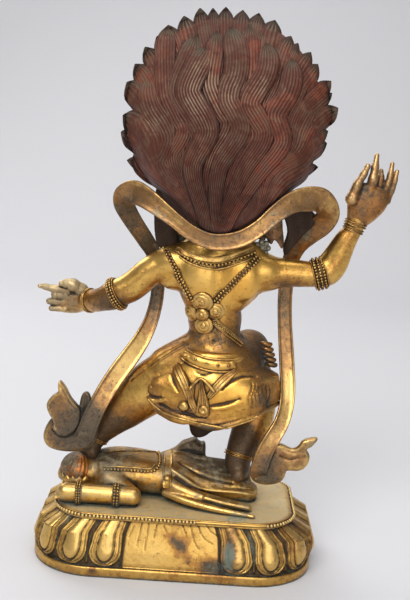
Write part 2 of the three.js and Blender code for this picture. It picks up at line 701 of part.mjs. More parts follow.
/** The strip's course: [x, y, z, half width], from its left fold over the nape to its right. */
const SCARF_COURSE = [
  [-43, -10, 56, 4.6],
  [-41.4, -9.5, 62, 4.4],
  [-38.6, -8.4, 69.6, 4.2],
  [-34.6, -5.6, 77.8, 4.3],
  [-30.6, -2.4, 84.4, 4.4],
  [-25.6, 1.6, 91.8, 4.3],
  [-21, 5.8, 99.4, 3.7],
  [-17.9, 9.6, 107.6, 3.1],
  [-16.2, 12.2, 117, 2.9],
  [-16.2, 13, 127, 3],
  [-18.4, 11.8, 136.4, 3.4],
  [-22.6, 9.4, 143.2, 3.9],
  [-27.4, 6, 150.2, 4.1],
  [-30.6, 2.6, 155.6, 4.4],
  [-32.6, -1.4, 160.4, 4.8],
  [-31.6, -5.6, 164.4, 5.2],
  [-27.6, -9, 166.2, 5.3],
  [-23, -12, 165, 4.9],
  [-17, -15.4, 161.5, 4.1],
  [-9, -18, 156.2, 3.3],
  [-1.4, -19.4, 151.2, 3.3],
  [6.4, -20.2, 148.2, 3.5],
  [13.6, -20.3, 148.2, 3.6],
  [21, -19.8, 150.4, 3.6],
  [28, -18.6, 155.2, 3.5],
  [34.6, -16.6, 161.5, 3.9],
  [41, -13.9, 166.1, 4.6],
  [47.3, -11.4, 167.9, 5.4],
  [53.2, -9, 167.9, 5.7],
  [57, -6, 164.4, 5.4],
  [58.4, -2.4, 160, 5.6],
  [56.4, 1.6, 155.2, 5.7],
  [52, 5.4, 150.4, 5.3],
  [47.4, 8.6, 145.2, 4.6],
  [44.4, 11.2, 138.4, 3.9],
  [42.9, 12.4, 129.4, 3.4],
  [42.7, 12.2, 119, 3.3],
  [43.4, 10.8, 109, 3.3],
  [44.4, 8.8, 100, 3.4],
  [45.6, 5.8, 90, 3.5],
  [46.5, 2, 80.6, 3.5],
  [46.4, -2, 73, 3.4],
  [44.6, -5.4, 66, 3.5],
  [41.4, -7.6, 60, 3.7],
  [38.4, -8.6, 54, 3.9],
  [36.6, -9, 47.6, 3.9],
];

function scarf(grow = 0) {
  const strip = limb(
    SCARF_COURSE.map(([x, y, z, half]) => [x, y, z, half, SCARF_HALF_THICK]),
    { sides: 4, power: 0.25, grow, endDome: 0 },
  );
  const fold = (stations, sides = 6) => limb(stations, { sides, grow });
  return fuse([
    strip,
    blob(-53, -11, 55, 9, 3.6, 6.6, { grow, around: 10, rows: 6, turn: [0, 8, 0] }),
    fold([[-46, -11, 60, 4.6, 2.6], [-52, -11, 64, 5, 2.4], [-56.4, -10.6, 69.4, 4.4, 2.2],
      [-55.4, -10.4, 75, 2.6, 1.8], [-55.6, -10, 79.6, 0.7, 0.9]]),
    fold([[-43.4, -8, 63.6, 2, 1.8], [-46, -5.6, 68.4, 2, 1.6], [-45.8, -4.8, 72, 2.1, 1.5]], 5),
    blob(38, -9, 43.6, 7.4, 3.4, 7.6, { grow, around: 10, rows: 6 }),
    fold([[38, -9, 47.6, 4.6, 2.6], [46, -8.4, 48.8, 4.4, 2.4], [53.4, -7.6, 49.4, 4.8, 2.2],
      [55.6, -7.2, 51.4, 3.8, 1.8]]),
    fold([[52, -7.4, 52, 2.6, 1.6], [55, -7, 56.4, 2, 1.5], [60.8, -6.6, 58.6, 1, 1]], 5),
  ]);
}

// Prone figure

function trampledFigure() {
  const parts = [
    limb([[-38, 4, 35, 9, 12], [-30, 4, 36.4, 9.4, 14], [-20, 4, 36.2, 9.4, 14],
      [-10, 3, 35.6, 8.8, 13], [0, 3, 35, 8.6, 13], [10, 3, 34.4, 8.2, 12],
      [22, 2, 32.4, 6.6, 10], [32, 0, 30.6, 4.4, 7]], { sides: 10 }),
    blob(-46.4, 0, 36.6, 8.6, 9.4, 7.6, { around: 10, rows: 6 }),
    limb(banded([[-50, -18.6, 31.8, 4.2, 3.8], [-20, -17.8, 31.4, 4.1, 4]],
      [{ at: 6, half: 1.4, proud: 0.7 }, { at: 22.6, half: 1.6, proud: 0.7 }]),
    { sides: 7, startDome: 0.9, endDome: 0.9 }),
    limb([[-20, -16, 31.2, 3.6, 3.6], [-26, -11, 33, 4.4, 4.2], [-32, -8, 35, 5, 4.6]],
      { sides: 6 }),
    limb([[-4, -9, 34.6, 3.4, 3.6], [8, -12.6, 31.6, 2.8, 3], [20, -14.6, 30, 2.2, 2.4],
      [32, -15.6, 29, 1.4, 1.8]], { sides: 5 }),
    limb([[6, -16.6, 29.4, 2.2, 2.2], [18, -20, 28.6, 1.9, 2], [34, -23.4, 28, 1.2, 1.4]],
      { sides: 4 }),
    limb([[-2, 12, 40, 6, 6], [4, 13, 46, 5, 5], [9, 13.4, 49.2, 3.6, 4], [13.6, 13, 46, 3, 3.6]],
      { sides: 7 }),
    limb([[-6, -9.6, 32, 2, 0.9], [-6, -9.6, 38.6, 2, 0.9], [-6, -4, 43.6, 2, 0.9],
      [-6, 4, 45, 2, 0.9]], { sides: 4, power: 0.5, reference: vec(0, -1, 0.4) }),
    hoop(vec(-46.6, 0, 33.6), vec(0, 0, 1), 8.6, 9.4, 1.2, 10),
  ];
  return fuse(parts);
}

// Pieces

/** Keeps only what stands above a height. */
function above(solid, height) {
  return solid.trimByPlane([0, 0, 1], height);
}

/** Drops the slivers that a cut leaves loose and keeps the piece itself. */
function wholePiece(solid) {
  const bodies = solid.decompose();
  return bodies.reduce((best, body) => (body.volume() > best.volume() ? body : best));
}

function meshFrom(name, cut, material) {
  const solid = wholePiece(cut);
  const { numProp, vertProperties, triVerts } = solid.getMesh();
  const positions = new Float32Array(vertProperties.length / numProp * 3);
  for (let i = 0; i < positions.length / 3; i += 1) {
    positions.set(vertProperties.slice(i * numProp, i * numProp + 3), i * 3);
  }
  const geometry = new THREE.BufferGeometry();
  geometry.setAttribute('position', new THREE.BufferAttribute(positions, 3));
  geometry.setIndex(new THREE.BufferAttribute(new Uint32Array(triVerts), 1));
  geometry.computeVertexNormals();
  const mesh = new THREE.Mesh(geometry, material);
  mesh.name = name;
  return mesh;
}

const gilt = new THREE.MeshStandardMaterial({ color: 0xb98a3c, metalness: 1, roughness: 0.35 });
const redPaint = new THREE.MeshStandardMaterial({ color: 0x5a2a22, metalness: 0, roughness: 0.7 });

const headSpace = fuse([
  ...skull(CLEARANCE),
  ...headTrim(CLEARANCE),
  limb(TRUNK.slice(-4), { sides: 12, grow: CLEARANCE }),
]);
const hairSolid = flameHair().subtract(scarf(CLEARANCE)).subtract(headSpace);
const scarfSolid = above(scarf(), PLINTH_HEIGHT + CLEARANCE);
const figureSolid = standingFigure().subtract(scarf(CLEARANCE));
const proneSolid = above(trampledFigure(), PLINTH_HEIGHT + CLEARANCE)
  .subtract(fuse(legs(CLEARANCE)))
  .subtract(scarf(CLEARANCE));

const statue = new THREE.Group();
statue.name = 'yama_yami_statue';
const figures = new THREE.Group();
figures.position.x = FIGURES_SHIFT;
figures.add(
  meshFrom('trampled_figure', proneSolid, gilt),
  meshFrom('standing_deity', figureSolid, gilt),
  meshFrom('flame_hair', hairSolid, redPaint),
  meshFrom('scarf', scarfSolid, gilt),
);
statue.add(meshFrom('lotus_plinth', lotusPlinth(), gilt), figures);

export default statue;
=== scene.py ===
"""A gilt bronze striding figure with a red fan of hair, over a prone figure on a lotus plinth.

Every size is in millimetres until a mesh is handed to Blender, which takes metres. +Z is up
and the figure faces +Y. The standing figure's own left hand is on the -X side.
"""

import logging
import math
from collections.abc import Callable, Sequence
from dataclasses import dataclass, field
from enum import Enum
from functools import partialmethod

import bpy
import numpy as np
import openvdb
from mathutils import Matrix, Vector

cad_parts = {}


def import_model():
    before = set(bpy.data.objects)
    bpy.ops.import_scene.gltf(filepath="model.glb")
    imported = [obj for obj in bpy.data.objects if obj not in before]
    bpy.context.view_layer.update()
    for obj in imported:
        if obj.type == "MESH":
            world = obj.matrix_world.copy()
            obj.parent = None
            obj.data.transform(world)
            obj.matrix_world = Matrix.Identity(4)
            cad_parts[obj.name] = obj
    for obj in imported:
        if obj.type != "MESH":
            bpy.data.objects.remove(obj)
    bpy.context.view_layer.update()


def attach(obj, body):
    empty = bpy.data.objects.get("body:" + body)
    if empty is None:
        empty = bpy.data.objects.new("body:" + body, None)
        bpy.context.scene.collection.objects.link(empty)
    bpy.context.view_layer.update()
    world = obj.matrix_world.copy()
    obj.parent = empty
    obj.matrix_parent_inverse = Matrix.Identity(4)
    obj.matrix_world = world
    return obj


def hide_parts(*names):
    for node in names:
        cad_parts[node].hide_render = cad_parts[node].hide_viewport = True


LOG = logging.getLogger("statue")

Array = np.ndarray
Rows = Sequence[Sequence[float]]
Marks = Sequence[tuple[float, float]]
Triple = tuple[float, float, float]
Colour = Triple
Halves = float | Sequence[float]

METRES = 0.001
FIGURES_SHIFT = 1.2
FAR = 40.0
NEAR = 3.5
HOLLOWS = ((1.6, 2.2), (0.72, 1.6))
MEET_STEPS = 300
DEEPEST_MEETING = 60.0
UP = (0.0, 0.0, 1.0)
FORWARD = (0.0, 1.0, 0.0)


# Curves and surfaces


def curve_through(rows: Rows, per_span: int) -> Array:
    """Draws a smooth curve through rows of numbers.

    Args:
        rows: The rows it passes through, each of the same length.
        per_span: How many steps lie between two rows.

    Returns:
        The curve's rows.
    """
    given = np.asarray(rows, float)
    padded = np.vstack([2 * given[0] - given[1], given, 2 * given[-1] - given[-2]])
    pieces = []
    share = np.linspace(0, 1, per_span, endpoint=False)[:, None]
    for a, b, c, d in zip(padded, padded[1:], padded[2:], padded[3:]):
        pieces.append(0.5 * (2 * b + (c - a) * share + (2 * a - 5 * b + 4 * c - d) * share ** 2
            + (3 * b - a - 3 * c + d) * share ** 3))
    return np.vstack([*pieces, given[-1:]])


def spaced(rows: Array, step: float) -> Array:
    """Lays rows out again at an even distance along their first three columns.

    Args:
        rows: The rows of a path.
        step: The distance wanted between rows.

    Returns:
        The new rows.
    """
    lengths = travelled(rows[:, :3])
    count = max(int(round(lengths[-1] / step)), 1)
    marks = np.linspace(0, lengths[-1], count + 1)
    return np.stack([np.interp(marks, lengths, column) for column in rows.T], axis=1)


def unit(vectors: Array) -> Array:
    """Gives vectors a length of one."""
    return vectors / np.maximum(np.linalg.norm(vectors, axis=-1, keepdims=True), 1e-9)


def turns(count: int) -> Array:
    """Angles spread evenly round a circle."""
    return np.linspace(0, 2 * math.pi, count, endpoint=False)


def travelled(points: Array) -> Array:
    """The distance along a path at each of its points."""
    return np.concatenate([[0], np.cumsum(np.linalg.norm(np.diff(points, axis=0), axis=1))])


def off_line(x: Array, z: Array, start: Sequence[float], end: Sequence[float]) -> Array:
    """How far places are from the straight line between two points, as x and z."""
    (ax, az), (bx, bz) = start, end
    share = np.clip(((x - ax) * (bx - ax) + (z - az) * (bz - az))
        / max((bx - ax) ** 2 + (bz - az) ** 2, 1e-6), 0, 1)
    return np.hypot(x - ax - share * (bx - ax), z - az - share * (bz - az))


def ramp(value: Array | float, low: float, high: float) -> Array | float:
    """Rises smoothly from 0 at `low` to 1 at `high`."""
    share = np.clip((value - low) / (high - low), 0, 1)
    return share * share * (3 - 2 * share)


@dataclass
class Shell:
    """One closed surface: its points, its faces and values that its finish reads."""

    points: Array
    quads: Array
    tris: Array = field(default_factory=lambda: np.zeros((0, 3), int))
    tags: dict[str, Array] = field(default_factory=dict)

    @staticmethod
    def joined(shells: Sequence["Shell"]) -> "Shell":
        """Makes one shell of several."""
        names = sorted({name for shell in shells for name in shell.tags})
        starts = np.cumsum([0] + [len(shell.points) for shell in shells])
        return Shell(np.vstack([shell.points for shell in shells]),
            np.vstack([shell.quads + start for shell, start in zip(shells, starts)]),
            np.vstack([shell.tris + start for shell, start in zip(shells, starts)]),
            {name: np.concatenate([shell.tags.get(name, np.zeros(len(shell.points))) for shell in shells])
                for name in names})

    def volume(self) -> float:
        """Six times the volume that the faces close, negative where they look inward."""
        halves = (self.quads[:, :3], self.quads[:, [0, 2, 3]], self.tris)
        corners = [[self.points[half[:, k]] for k in range(3)] for half in halves]
        return sum(float(np.einsum("ij,ij->", p, np.cross(q, r))) for p, q, r in corners)

    def tinted(self, shade: float) -> "Shell":
        """Darkens the whole surface evenly."""
        self.tags["shade"] = np.full(len(self.points), shade)
        return self

    def outward(self) -> "Shell":
        """Turns the faces so that they look outward."""
        if self.volume() < 0:
            self.quads = self.quads[:, ::-1]
            self.tris = self.tris[:, ::-1]
        return self

    def mesh(self, name: str, shift: float) -> bpy.types.Mesh:
        """Hands the surface to Blender in metres.

        Args:
            name: The mesh's name.
            shift: How far it moves along X, in millimetres.

        Returns:
            The mesh, smooth shaded.
        """
        mesh = bpy.data.meshes.new(name)
        points = (self.points + (shift, 0, 0)) * METRES
        loops = np.concatenate([self.quads.ravel(), self.tris.ravel()]).astype(np.int32)
        sizes = np.concatenate([np.full(len(self.quads), 4), np.full(len(self.tris), 3)])
        starts = np.concatenate([[0], np.cumsum(sizes)[:-1]]).astype(np.int32)
        mesh.vertices.add(len(points))
        mesh.vertices.foreach_set("co", points.astype(np.float32).ravel())
        mesh.loops.add(len(loops))
        mesh.loops.foreach_set("vertex_index", loops)
        mesh.polygons.add(len(starts))
        mesh.polygons.foreach_set("loop_start", starts)
        mesh.update(calc_edges=True)
        mesh.validate()
        mesh.shade_smooth()
        for tag, values in self.tags.items():
            layer = mesh.attributes.new(tag, "FLOAT", "POINT")
            layer.data.foreach_set("value", np.asarray(values, np.float32))
        return mesh


def tube(rings: Array, tags: dict[str, Array] | None = None, closed: bool = False) -> Shell:
    """Skins rings of points into a closed shell.

    Args:
        rings: Points of shape (rings, sides, 3).
        tags: Values of shape (rings, sides) for the finish.
        closed: Whether the last ring meets the first, as on a hoop.

    Returns:
        The shell, with a centre point at each open end.
    """
    count, sides = rings.shape[:2]
    index = np.arange(count * sides).reshape(count, sides)
    upper = np.roll(index, -1, axis=0)
    rows = slice(None) if closed else slice(0, count - 1)
    quads = np.stack([index[rows], np.roll(index, -1, axis=1)[rows], np.roll(upper, -1, axis=1)[rows],
        upper[rows]], axis=-1).reshape(-1, 4)
    points = rings.reshape(-1, 3)
    values = {name: value.reshape(-1) for name, value in (tags or {}).items()}
    tris = np.zeros((0, 3), int)
    if not closed:
        points = np.vstack([points, rings[0].mean(0), rings[-1].mean(0)])
        first, last = len(points) - 2, len(points) - 1
        turn = np.roll(np.arange(sides), -1)
        tris = np.vstack([np.stack([np.full(sides, first), turn, np.arange(sides)], axis=1),
            np.stack([np.full(sides, last), index[-1], index[-1][turn]], axis=1)])
        values = {name: np.concatenate([value, [value[:sides].mean(), value[-sides:].mean()]])
            for name, value in values.items()}
    return Shell(points, quads, tris, values).outward()


class Section(Enum):
    """The cross-sections that bars and ribbons are drawn with."""

    FLAT = "flat"
    RIMMED = "rimmed"
    ROUND = "round"
    RIDGED = "ridged"

    def outline(self) -> Array:
        """The section's outline, one half width and one half depth in size."""
        if self is Section.ROUND:
            turn = turns(12)
            return np.stack([np.cos(turn), np.sin(turn)], axis=1)
        if self is Section.RIDGED:
            across = np.linspace(-1, 1, 17)
            top = 0.75 - 0.55 * np.abs(across) ** 4 + 0.25 * np.cos(across * math.pi * 3)
            return np.vstack([np.stack([across, top], 1), [(0.9, -0.6), (-0.9, -0.6)]])
        if self is Section.RIMMED:
            half = [(-1.0, 0.0), (-0.99, 0.72), (-0.93, 1.1), (-0.8, 1.12), (-0.72, 0.82), (-0.55, 0.66),
                (-0.2, 0.7), (0.2, 0.7), (0.55, 0.66), (0.72, 0.82), (0.8, 1.12), (0.93, 1.1),
                (0.99, 0.72)]
        else:
            half = [(-1.0, 0.0), (-0.98, 0.6), (-0.9, 0.92), (-0.5, 1.0), (0.0, 1.0), (0.5, 1.0),
                (0.9, 0.92), (0.98, 0.6)]
        return np.array(half + [(-x, -y) for x, y in half])


def swept(stations: Array, section: Section, rises: Array | Sequence[float], closed: bool = False,
        dome: float = 0.0) -> Shell:
    """Draws a bar or ribbon along stations of [x, y, z, half width, half depth].

    Args:
        stations: The stations along it.
        section: The cross-section.
        rises: The direction its depth lies along, one for all or one for each station.
        closed: Whether the bar is a hoop.
        dome: How far its two ends are rounded over, in half depths.

    Returns:
        The closed shell.
    """
    centres = stations[:, :3]
    if closed:
        ways = unit(np.roll(centres, -1, axis=0) - np.roll(centres, 1, axis=0))
    else:
        ways = unit(np.gradient(centres, axis=0))
    rises = np.broadcast_to(np.asarray(rises, float), centres.shape)
    sides = unit(np.cross(ways, rises))
    lifts = np.cross(sides, ways)
    outline = section.outline()
    wide, deep = stations[:, 3, None], stations[:, 4, None]
    rings = (centres[:, None] + sides[:, None] * (wide * outline[:, 0])[..., None]
        + lifts[:, None] * (deep * outline[:, 1])[..., None])
    if dome > 0:
        caps = []
        for end, way in ((0, -ways[0]), (-1, ways[-1])):
            reach = dome * min(float(wide[end, 0]), float(deep[end, 0]))
            caps.append([centres[end] + (rings[end] - centres[end]) * math.cos(turn)
                + way * reach * math.sin(turn) for turn in (0.5, 1.0, 1.35)])
        rings = np.concatenate([np.array(caps[0][::-1]), rings, np.array(caps[1])])
    return tube(rings, closed=closed)


@dataclass(frozen=True)
class BeadString:
    """A row of cast beads, a little uneven, half sunk in what carries them."""

    radius: float = 0.6
    pitch: float = 1.3
    sink: float = 0.25
    around: int = 8
    rows: int = 5

    def template(self) -> tuple[Array, Array, Array]:
        """One round bead's points, quads and triangles."""
        rise = np.linspace(0, math.pi, self.rows + 1)[1:-1]
        turn = turns(self.around)
        ring = np.stack([np.outer(np.sin(rise), np.cos(turn)), np.outer(np.sin(rise), np.sin(turn)),
            np.outer(np.cos(rise), np.ones_like(turn))], axis=-1)
        shell = tube(ring)
        points = shell.points.copy()
        points[-2] = (0, 0, 1)
        points[-1] = (0, 0, -1)
        return points, shell.quads, shell.tris

    def along(self, path: Array, normals: Array, seed: int = 3) -> Shell:
        """Sets beads along a path that lies on a surface.

        Args:
            path: The path's points.
            normals: The surface's outward direction at each point.
            seed: What the unevenness is drawn from.

        Returns:
            All the beads as one shell.
        """
        rows = spaced(np.hstack([path, normals]), self.pitch)
        centres = rows[:, :3] + unit(rows[:, 3:]) * self.radius * (1 - 2 * self.sink)
        rng = np.random.default_rng(seed)
        sizes = self.radius * rng.uniform(0.86, 1.08, len(centres))
        centres = centres + rng.normal(0, 0.03, centres.shape)
        points, quads, tris = self.template()
        starts = np.arange(len(centres)) * len(points)
        return Shell((centres[:, None] + points[None] * sizes[:, None, None]).reshape(-1, 3),
            (quads[None] + starts[:, None, None]).reshape(-1, 4),
            (tris[None] + starts[:, None, None]).reshape(-1, 3))


# Clay


class Clay:
    """Modelling clay, held as the distance to its surface at every point of a fine grid."""

    def __init__(self, low: Sequence[float], high: Sequence[float], grain: float) -> None:
        """Sets out an empty block.

        Args:
            low: The block's lowest corner.
            high: Its highest corner.
            grain: The grid's pitch.
        """
        self.low = np.asarray(low, float)
        self.grain = grain
        size = np.ceil((np.asarray(high, float) - self.low) / grain).astype(int) + 1
        self.field = np.full(size, FAR, np.float32)

    def window(self, low: Array, high: Array) -> tuple[tuple[slice, ...], list[Array]]:
        """Finds the part of the grid between two corners, and its X, Y and Z."""
        first = np.clip(((low - self.low) / self.grain).astype(int), 0, np.array(self.field.shape) - 1)
        last = np.clip(((high - self.low) / self.grain).astype(int) + 2, first + 1, self.field.shape)
        axes = [(self.low[k] + self.grain * np.arange(first[k], last[k])).astype(np.float32)
            for k in range(3)]
        slices = tuple(slice(int(a), int(b)) for a, b in zip(first, last))
        return slices, np.meshgrid(*axes, indexing="ij", sparse=True)

    def take(self, slices: tuple[slice, ...], lump: Array, blend: float, cut: bool) -> None:
        """Adds a lump to the clay or cuts it away, with a soft seam `blend` wide."""
        sign = -1.0 if cut else 1.0
        near = sign * self.field[slices]
        seam = np.maximum(blend - np.abs(near - lump), 0) / max(blend, 1e-6)
        self.field[slices] = sign * (np.minimum(near, lump) - seam * seam * blend * 0.25)

    def limb(self, rows: Rows, blend: float, *, per_span: int = 4, cut: bool = False,
            dome: float = 1.0) -> None:
        """Adds or cuts a limb drawn along [x, y, z, half width, half depth].

        Args:
            rows: The limb's stations.
            blend: How soft the seam with the clay is.
            per_span: Steps between two stations.
            cut: Whether it is cut away instead.
            dome: How far its ends are rounded, in half depths.
        """
        path = curve_through(rows, per_span)
        path[:, 3:] = np.maximum(path[:, 3:], 0.2)
        reach = path[:, 3:].max(1) + NEAR + blend
        slices, _ = self.window(path[:, :3].min(0) - reach.max(), path[:, :3].max(0) + reach.max())
        lump = np.full(self.field[slices].shape, FAR, np.float32)
        corner = np.array([part.start for part in slices])
        for start, end, room in zip(path, path[1:], np.maximum(reach[1:], reach[:-1])):
            inner, grids = self.window(np.minimum(start[:3], end[:3]) - room,
                np.maximum(start[:3], end[:3]) + room)
            local = tuple(slice(part.start - c, part.stop - c) for part, c in zip(inner, corner))
            np.minimum(lump[local], self.span(grids, start, end, dome), out=lump[local])
        self.take(slices, lump, blend, cut)

    @staticmethod
    def span(grids: list[Array], start: Array, end: Array, dome: float) -> Array:
        """The distance to one span of a limb, with an oval section that changes along it."""
        way = end[:3] - start[:3]
        length = max(float(np.linalg.norm(way)), 1e-4)
        way = way / length
        side = unit(np.cross(way, FORWARD))
        rise = np.cross(side, way)
        offset = [grid - np.float32(value) for grid, value in zip(grids, start[:3])]

        def along(axis: Array) -> Array:
            return offset[0] * axis[0] + offset[1] * axis[1] + offset[2] * axis[2]

        travel = along(way)
        share = np.clip(travel / length, 0, 1)
        wide = start[3] + (end[3] - start[3]) * share
        deep = start[4] + (end[4] - start[4]) * share
        over = (travel - share * length) / (np.minimum(wide, deep) * dome + 1e-3)
        across = along(side) / wide
        through = along(rise) / deep
        size = np.sqrt(across ** 2 + through ** 2 + over ** 2)
        slope = np.sqrt((across / wide) ** 2 + (through / deep) ** 2
            + (over / np.minimum(wide, deep)) ** 2)
        return rounded(size, slope).astype(np.float32)

    def blob(self, centre: Sequence[float], half: Sequence[float], blend: float, *,
            turn: Sequence[float] = (0, 0, 0), cut: bool = False) -> None:
        """Adds or cuts an egg-shaped lump.

        Args:
            centre: Its middle.
            half: Its three half sizes.
            blend: How soft the seam with the clay is.
            turn: Its turn about X, Y and Z in degrees.
            cut: Whether it is cut away instead.
        """
        middle = np.asarray(centre, float)
        room = max(half) + NEAR + blend
        slices, grids = self.window(middle - room, middle + room)
        angles = [math.radians(angle) for angle in turn]
        axes = (Matrix.Rotation(angles[2], 3, "Z") @ Matrix.Rotation(angles[1], 3, "Y")
            @ Matrix.Rotation(angles[0], 3, "X")).transposed()
        offset = [grid - np.float32(value) for grid, value in zip(grids, middle)]
        local = [offset[0] * row[0] + offset[1] * row[1] + offset[2] * row[2] for row in axes]
        size = np.sqrt(sum((part / h) ** 2 for part, h in zip(local, half)))
        slope = np.sqrt(sum((part / h ** 2) ** 2 for part, h in zip(local, half)))
        self.take(slices, rounded(size, slope).astype(np.float32), blend, cut)

    def slab(self, outline: Array, depth: Callable[[Array, Array], Array] | float, half: float,
            edge: float, blend: float) -> None:
        """Adds a plate whose face, seen along Y, has a drawn outline.

        Args:
            outline: Points of [x, z] round the plate.
            depth: The Y of its middle, as a number or from x and z.
            half: Half its thickness.
            edge: How far its edge is rounded.
            blend: How soft the seam with the clay is.
        """
        low, high = outline.min(0) - NEAR, outline.max(0) + NEAR
        _, (grid_x, _, grid_z) = self.window(np.array([low[0], self.low[1], low[1]]),
            np.array([high[0], self.low[1], high[1]]))
        flat_x, flat_z = grid_x[:, 0, :], grid_z[:, 0, :]
        middle = (depth(flat_x, flat_z) if callable(depth) else np.full(np.broadcast(flat_x, flat_z).shape,
            float(depth)))
        near = np.full(middle.shape, FAR)
        inside = np.zeros(middle.shape, bool)
        for (ax, az), (bx, bz) in zip(outline, np.roll(outline, -1, axis=0)):
            near = np.minimum(near, off_line(flat_x, flat_z, (ax, az), (bx, bz)))
            crosses = (az > flat_z) != (bz > flat_z)
            where = ax + (flat_z - az) / (bz - az + 1e-9) * (bx - ax)
            inside ^= crosses & (flat_x < where)
        rim = np.where(inside, -near, near)[:, None, :]
        room = half + NEAR + blend
        slices, (_, grid_y, _) = self.window(np.array([low[0], float(middle.min()) - room, low[1]]),
            np.array([high[0], float(middle.max()) + room, high[1]]))
        face = np.abs(grid_y - middle[:, None, :]) - half + edge
        rim = rim + edge
        lump = (np.minimum(np.maximum(rim, face), 0) + np.hypot(np.maximum(rim, 0), np.maximum(face, 0))
            - edge)
        self.take(slices, lump.astype(np.float32), blend, False)

    def bell(self, rows: Rows, ripple: Callable[[Array, Array], Array], lift: float, blend: float,
            cut: bool = False) -> None:
        """Adds a bell of cloth.

        Args:
            rows: Stations of [z, x, y, half width, half depth] from the hem up.
            ripple: How far the cloth stands out, from the angle round it and the height.
            lift: How much higher the hem is at its two sides.
            blend: How soft the seam with the clay is.
            cut: Whether it is cut away instead.
        """
        table = np.asarray(rows, float)
        widest = table[:, 3:].max()
        low = np.array([table[:, 1].min() - widest, table[:, 2].min() - widest, table[0, 0]])
        high = np.array([table[:, 1].max() + widest, table[:, 2].max() + widest, table[-1, 0]])
        slices, (grid_x, grid_y, grid_z) = self.window(low - NEAR, high + NEAR)
        angle = np.arctan2(grid_y - table[0, 2], grid_x - table[0, 1])
        height = grid_z - lift * np.cos(angle) ** 2 * ramp(table[-1, 0] - grid_z, 0, 20)
        x, y, wide, deep = (np.interp(height, table[:, 0], column) for column in table.T[1:])
        out = ripple(angle, height)
        across, through = (grid_x - x) / (wide + out), (grid_y - y) / (deep + out)
        size = np.sqrt(across ** 2 + through ** 2)
        slope = np.sqrt((across / wide) ** 2 + (through / deep) ** 2)
        side = rounded(size, slope)
        ends = np.maximum(table[0, 0] - height, grid_z - table[-1, 0])
        soft = 1.2
        seam = np.maximum(soft - np.abs(side - ends), 0) / soft
        lump = np.maximum(side, ends) + seam * seam * soft * 0.25
        self.take(slices, lump.astype(np.float32), blend, cut)

    def sample(self, points: Array) -> Array:
        """Reads the distance to the surface at points."""
        place = np.clip((points - self.low) / self.grain, 0, np.array(self.field.shape) - 1.001)
        base = place.astype(int)
        part = place - base
        total = np.zeros(len(points))
        for corner in range(8):
            step = np.array([corner & 1, corner >> 1 & 1, corner >> 2 & 1])
            weight = np.prod(np.where(step, part, 1 - part), axis=1)
            i, j, k = (base + step).T
            total += weight * self.field[i, j, k]
        return total

    def normal(self, points: Array) -> Array:
        """The outward direction at points near the surface."""
        step = self.grain
        return unit(np.stack([self.sample(points + step * axis) - self.sample(points - step * axis)
            for axis in np.eye(3)], axis=1))

    def meet(self, starts: Array, ways: Array) -> Array:
        """Follows lines until they meet the surface."""
        points = np.array(starts, float)
        for _ in range(MEET_STEPS):
            points += ways * (np.clip(self.sample(points), -0.5, 1.5) * 0.85)[:, None]
        return points

    def shell(self) -> Shell:
        """Takes the finished surface as quads, tagged with how hollow each place is."""
        band = 3 * self.grain
        grid = openvdb.FloatGrid(band)
        grid.copyFromArray(np.clip(self.field, -band, band))
        points, quads = grid.convertToQuads(isovalue=0.0)
        points = points.astype(float) * self.grain + self.low
        surface = Shell(points, quads.astype(int)).outward()
        held, total = self.field, np.zeros(len(points))
        for reach, weight in HOLLOWS:
            spread = np.clip(held, -reach, reach)
            radius = max(int(round(reach / self.grain)), 1)
            for _ in range(2):
                for axis in range(3):
                    spread = box_blur(spread, radius, axis)
            self.field = spread
            total -= self.sample(points) / reach * weight
        self.field = held
        surface.tags["hollow"] = np.clip(total, -1, 1)
        return surface


def rounded(size: Array, slope: Array) -> Array:
    """The distance to an oval, from a place's share of its size and how fast that grows."""
    return size * (size - 1) / np.maximum(slope, 1e-4)


def box_blur(values: Array, radius: int, axis: int) -> Array:
    """Averages a grid over a short run along one axis."""
    moved = np.moveaxis(values, axis, 0)
    padded = np.concatenate([np.repeat(moved[:1], radius + 1, 0), moved, np.repeat(moved[-1:], radius, 0)])
    sums = np.cumsum(padded, axis=0, dtype=np.float64)
    width = 2 * radius + 1
    result = ((sums[width:] - sums[:-width]) / width).astype(np.float32)
    return np.moveaxis(result, 0, axis)


# The camera's line of sight


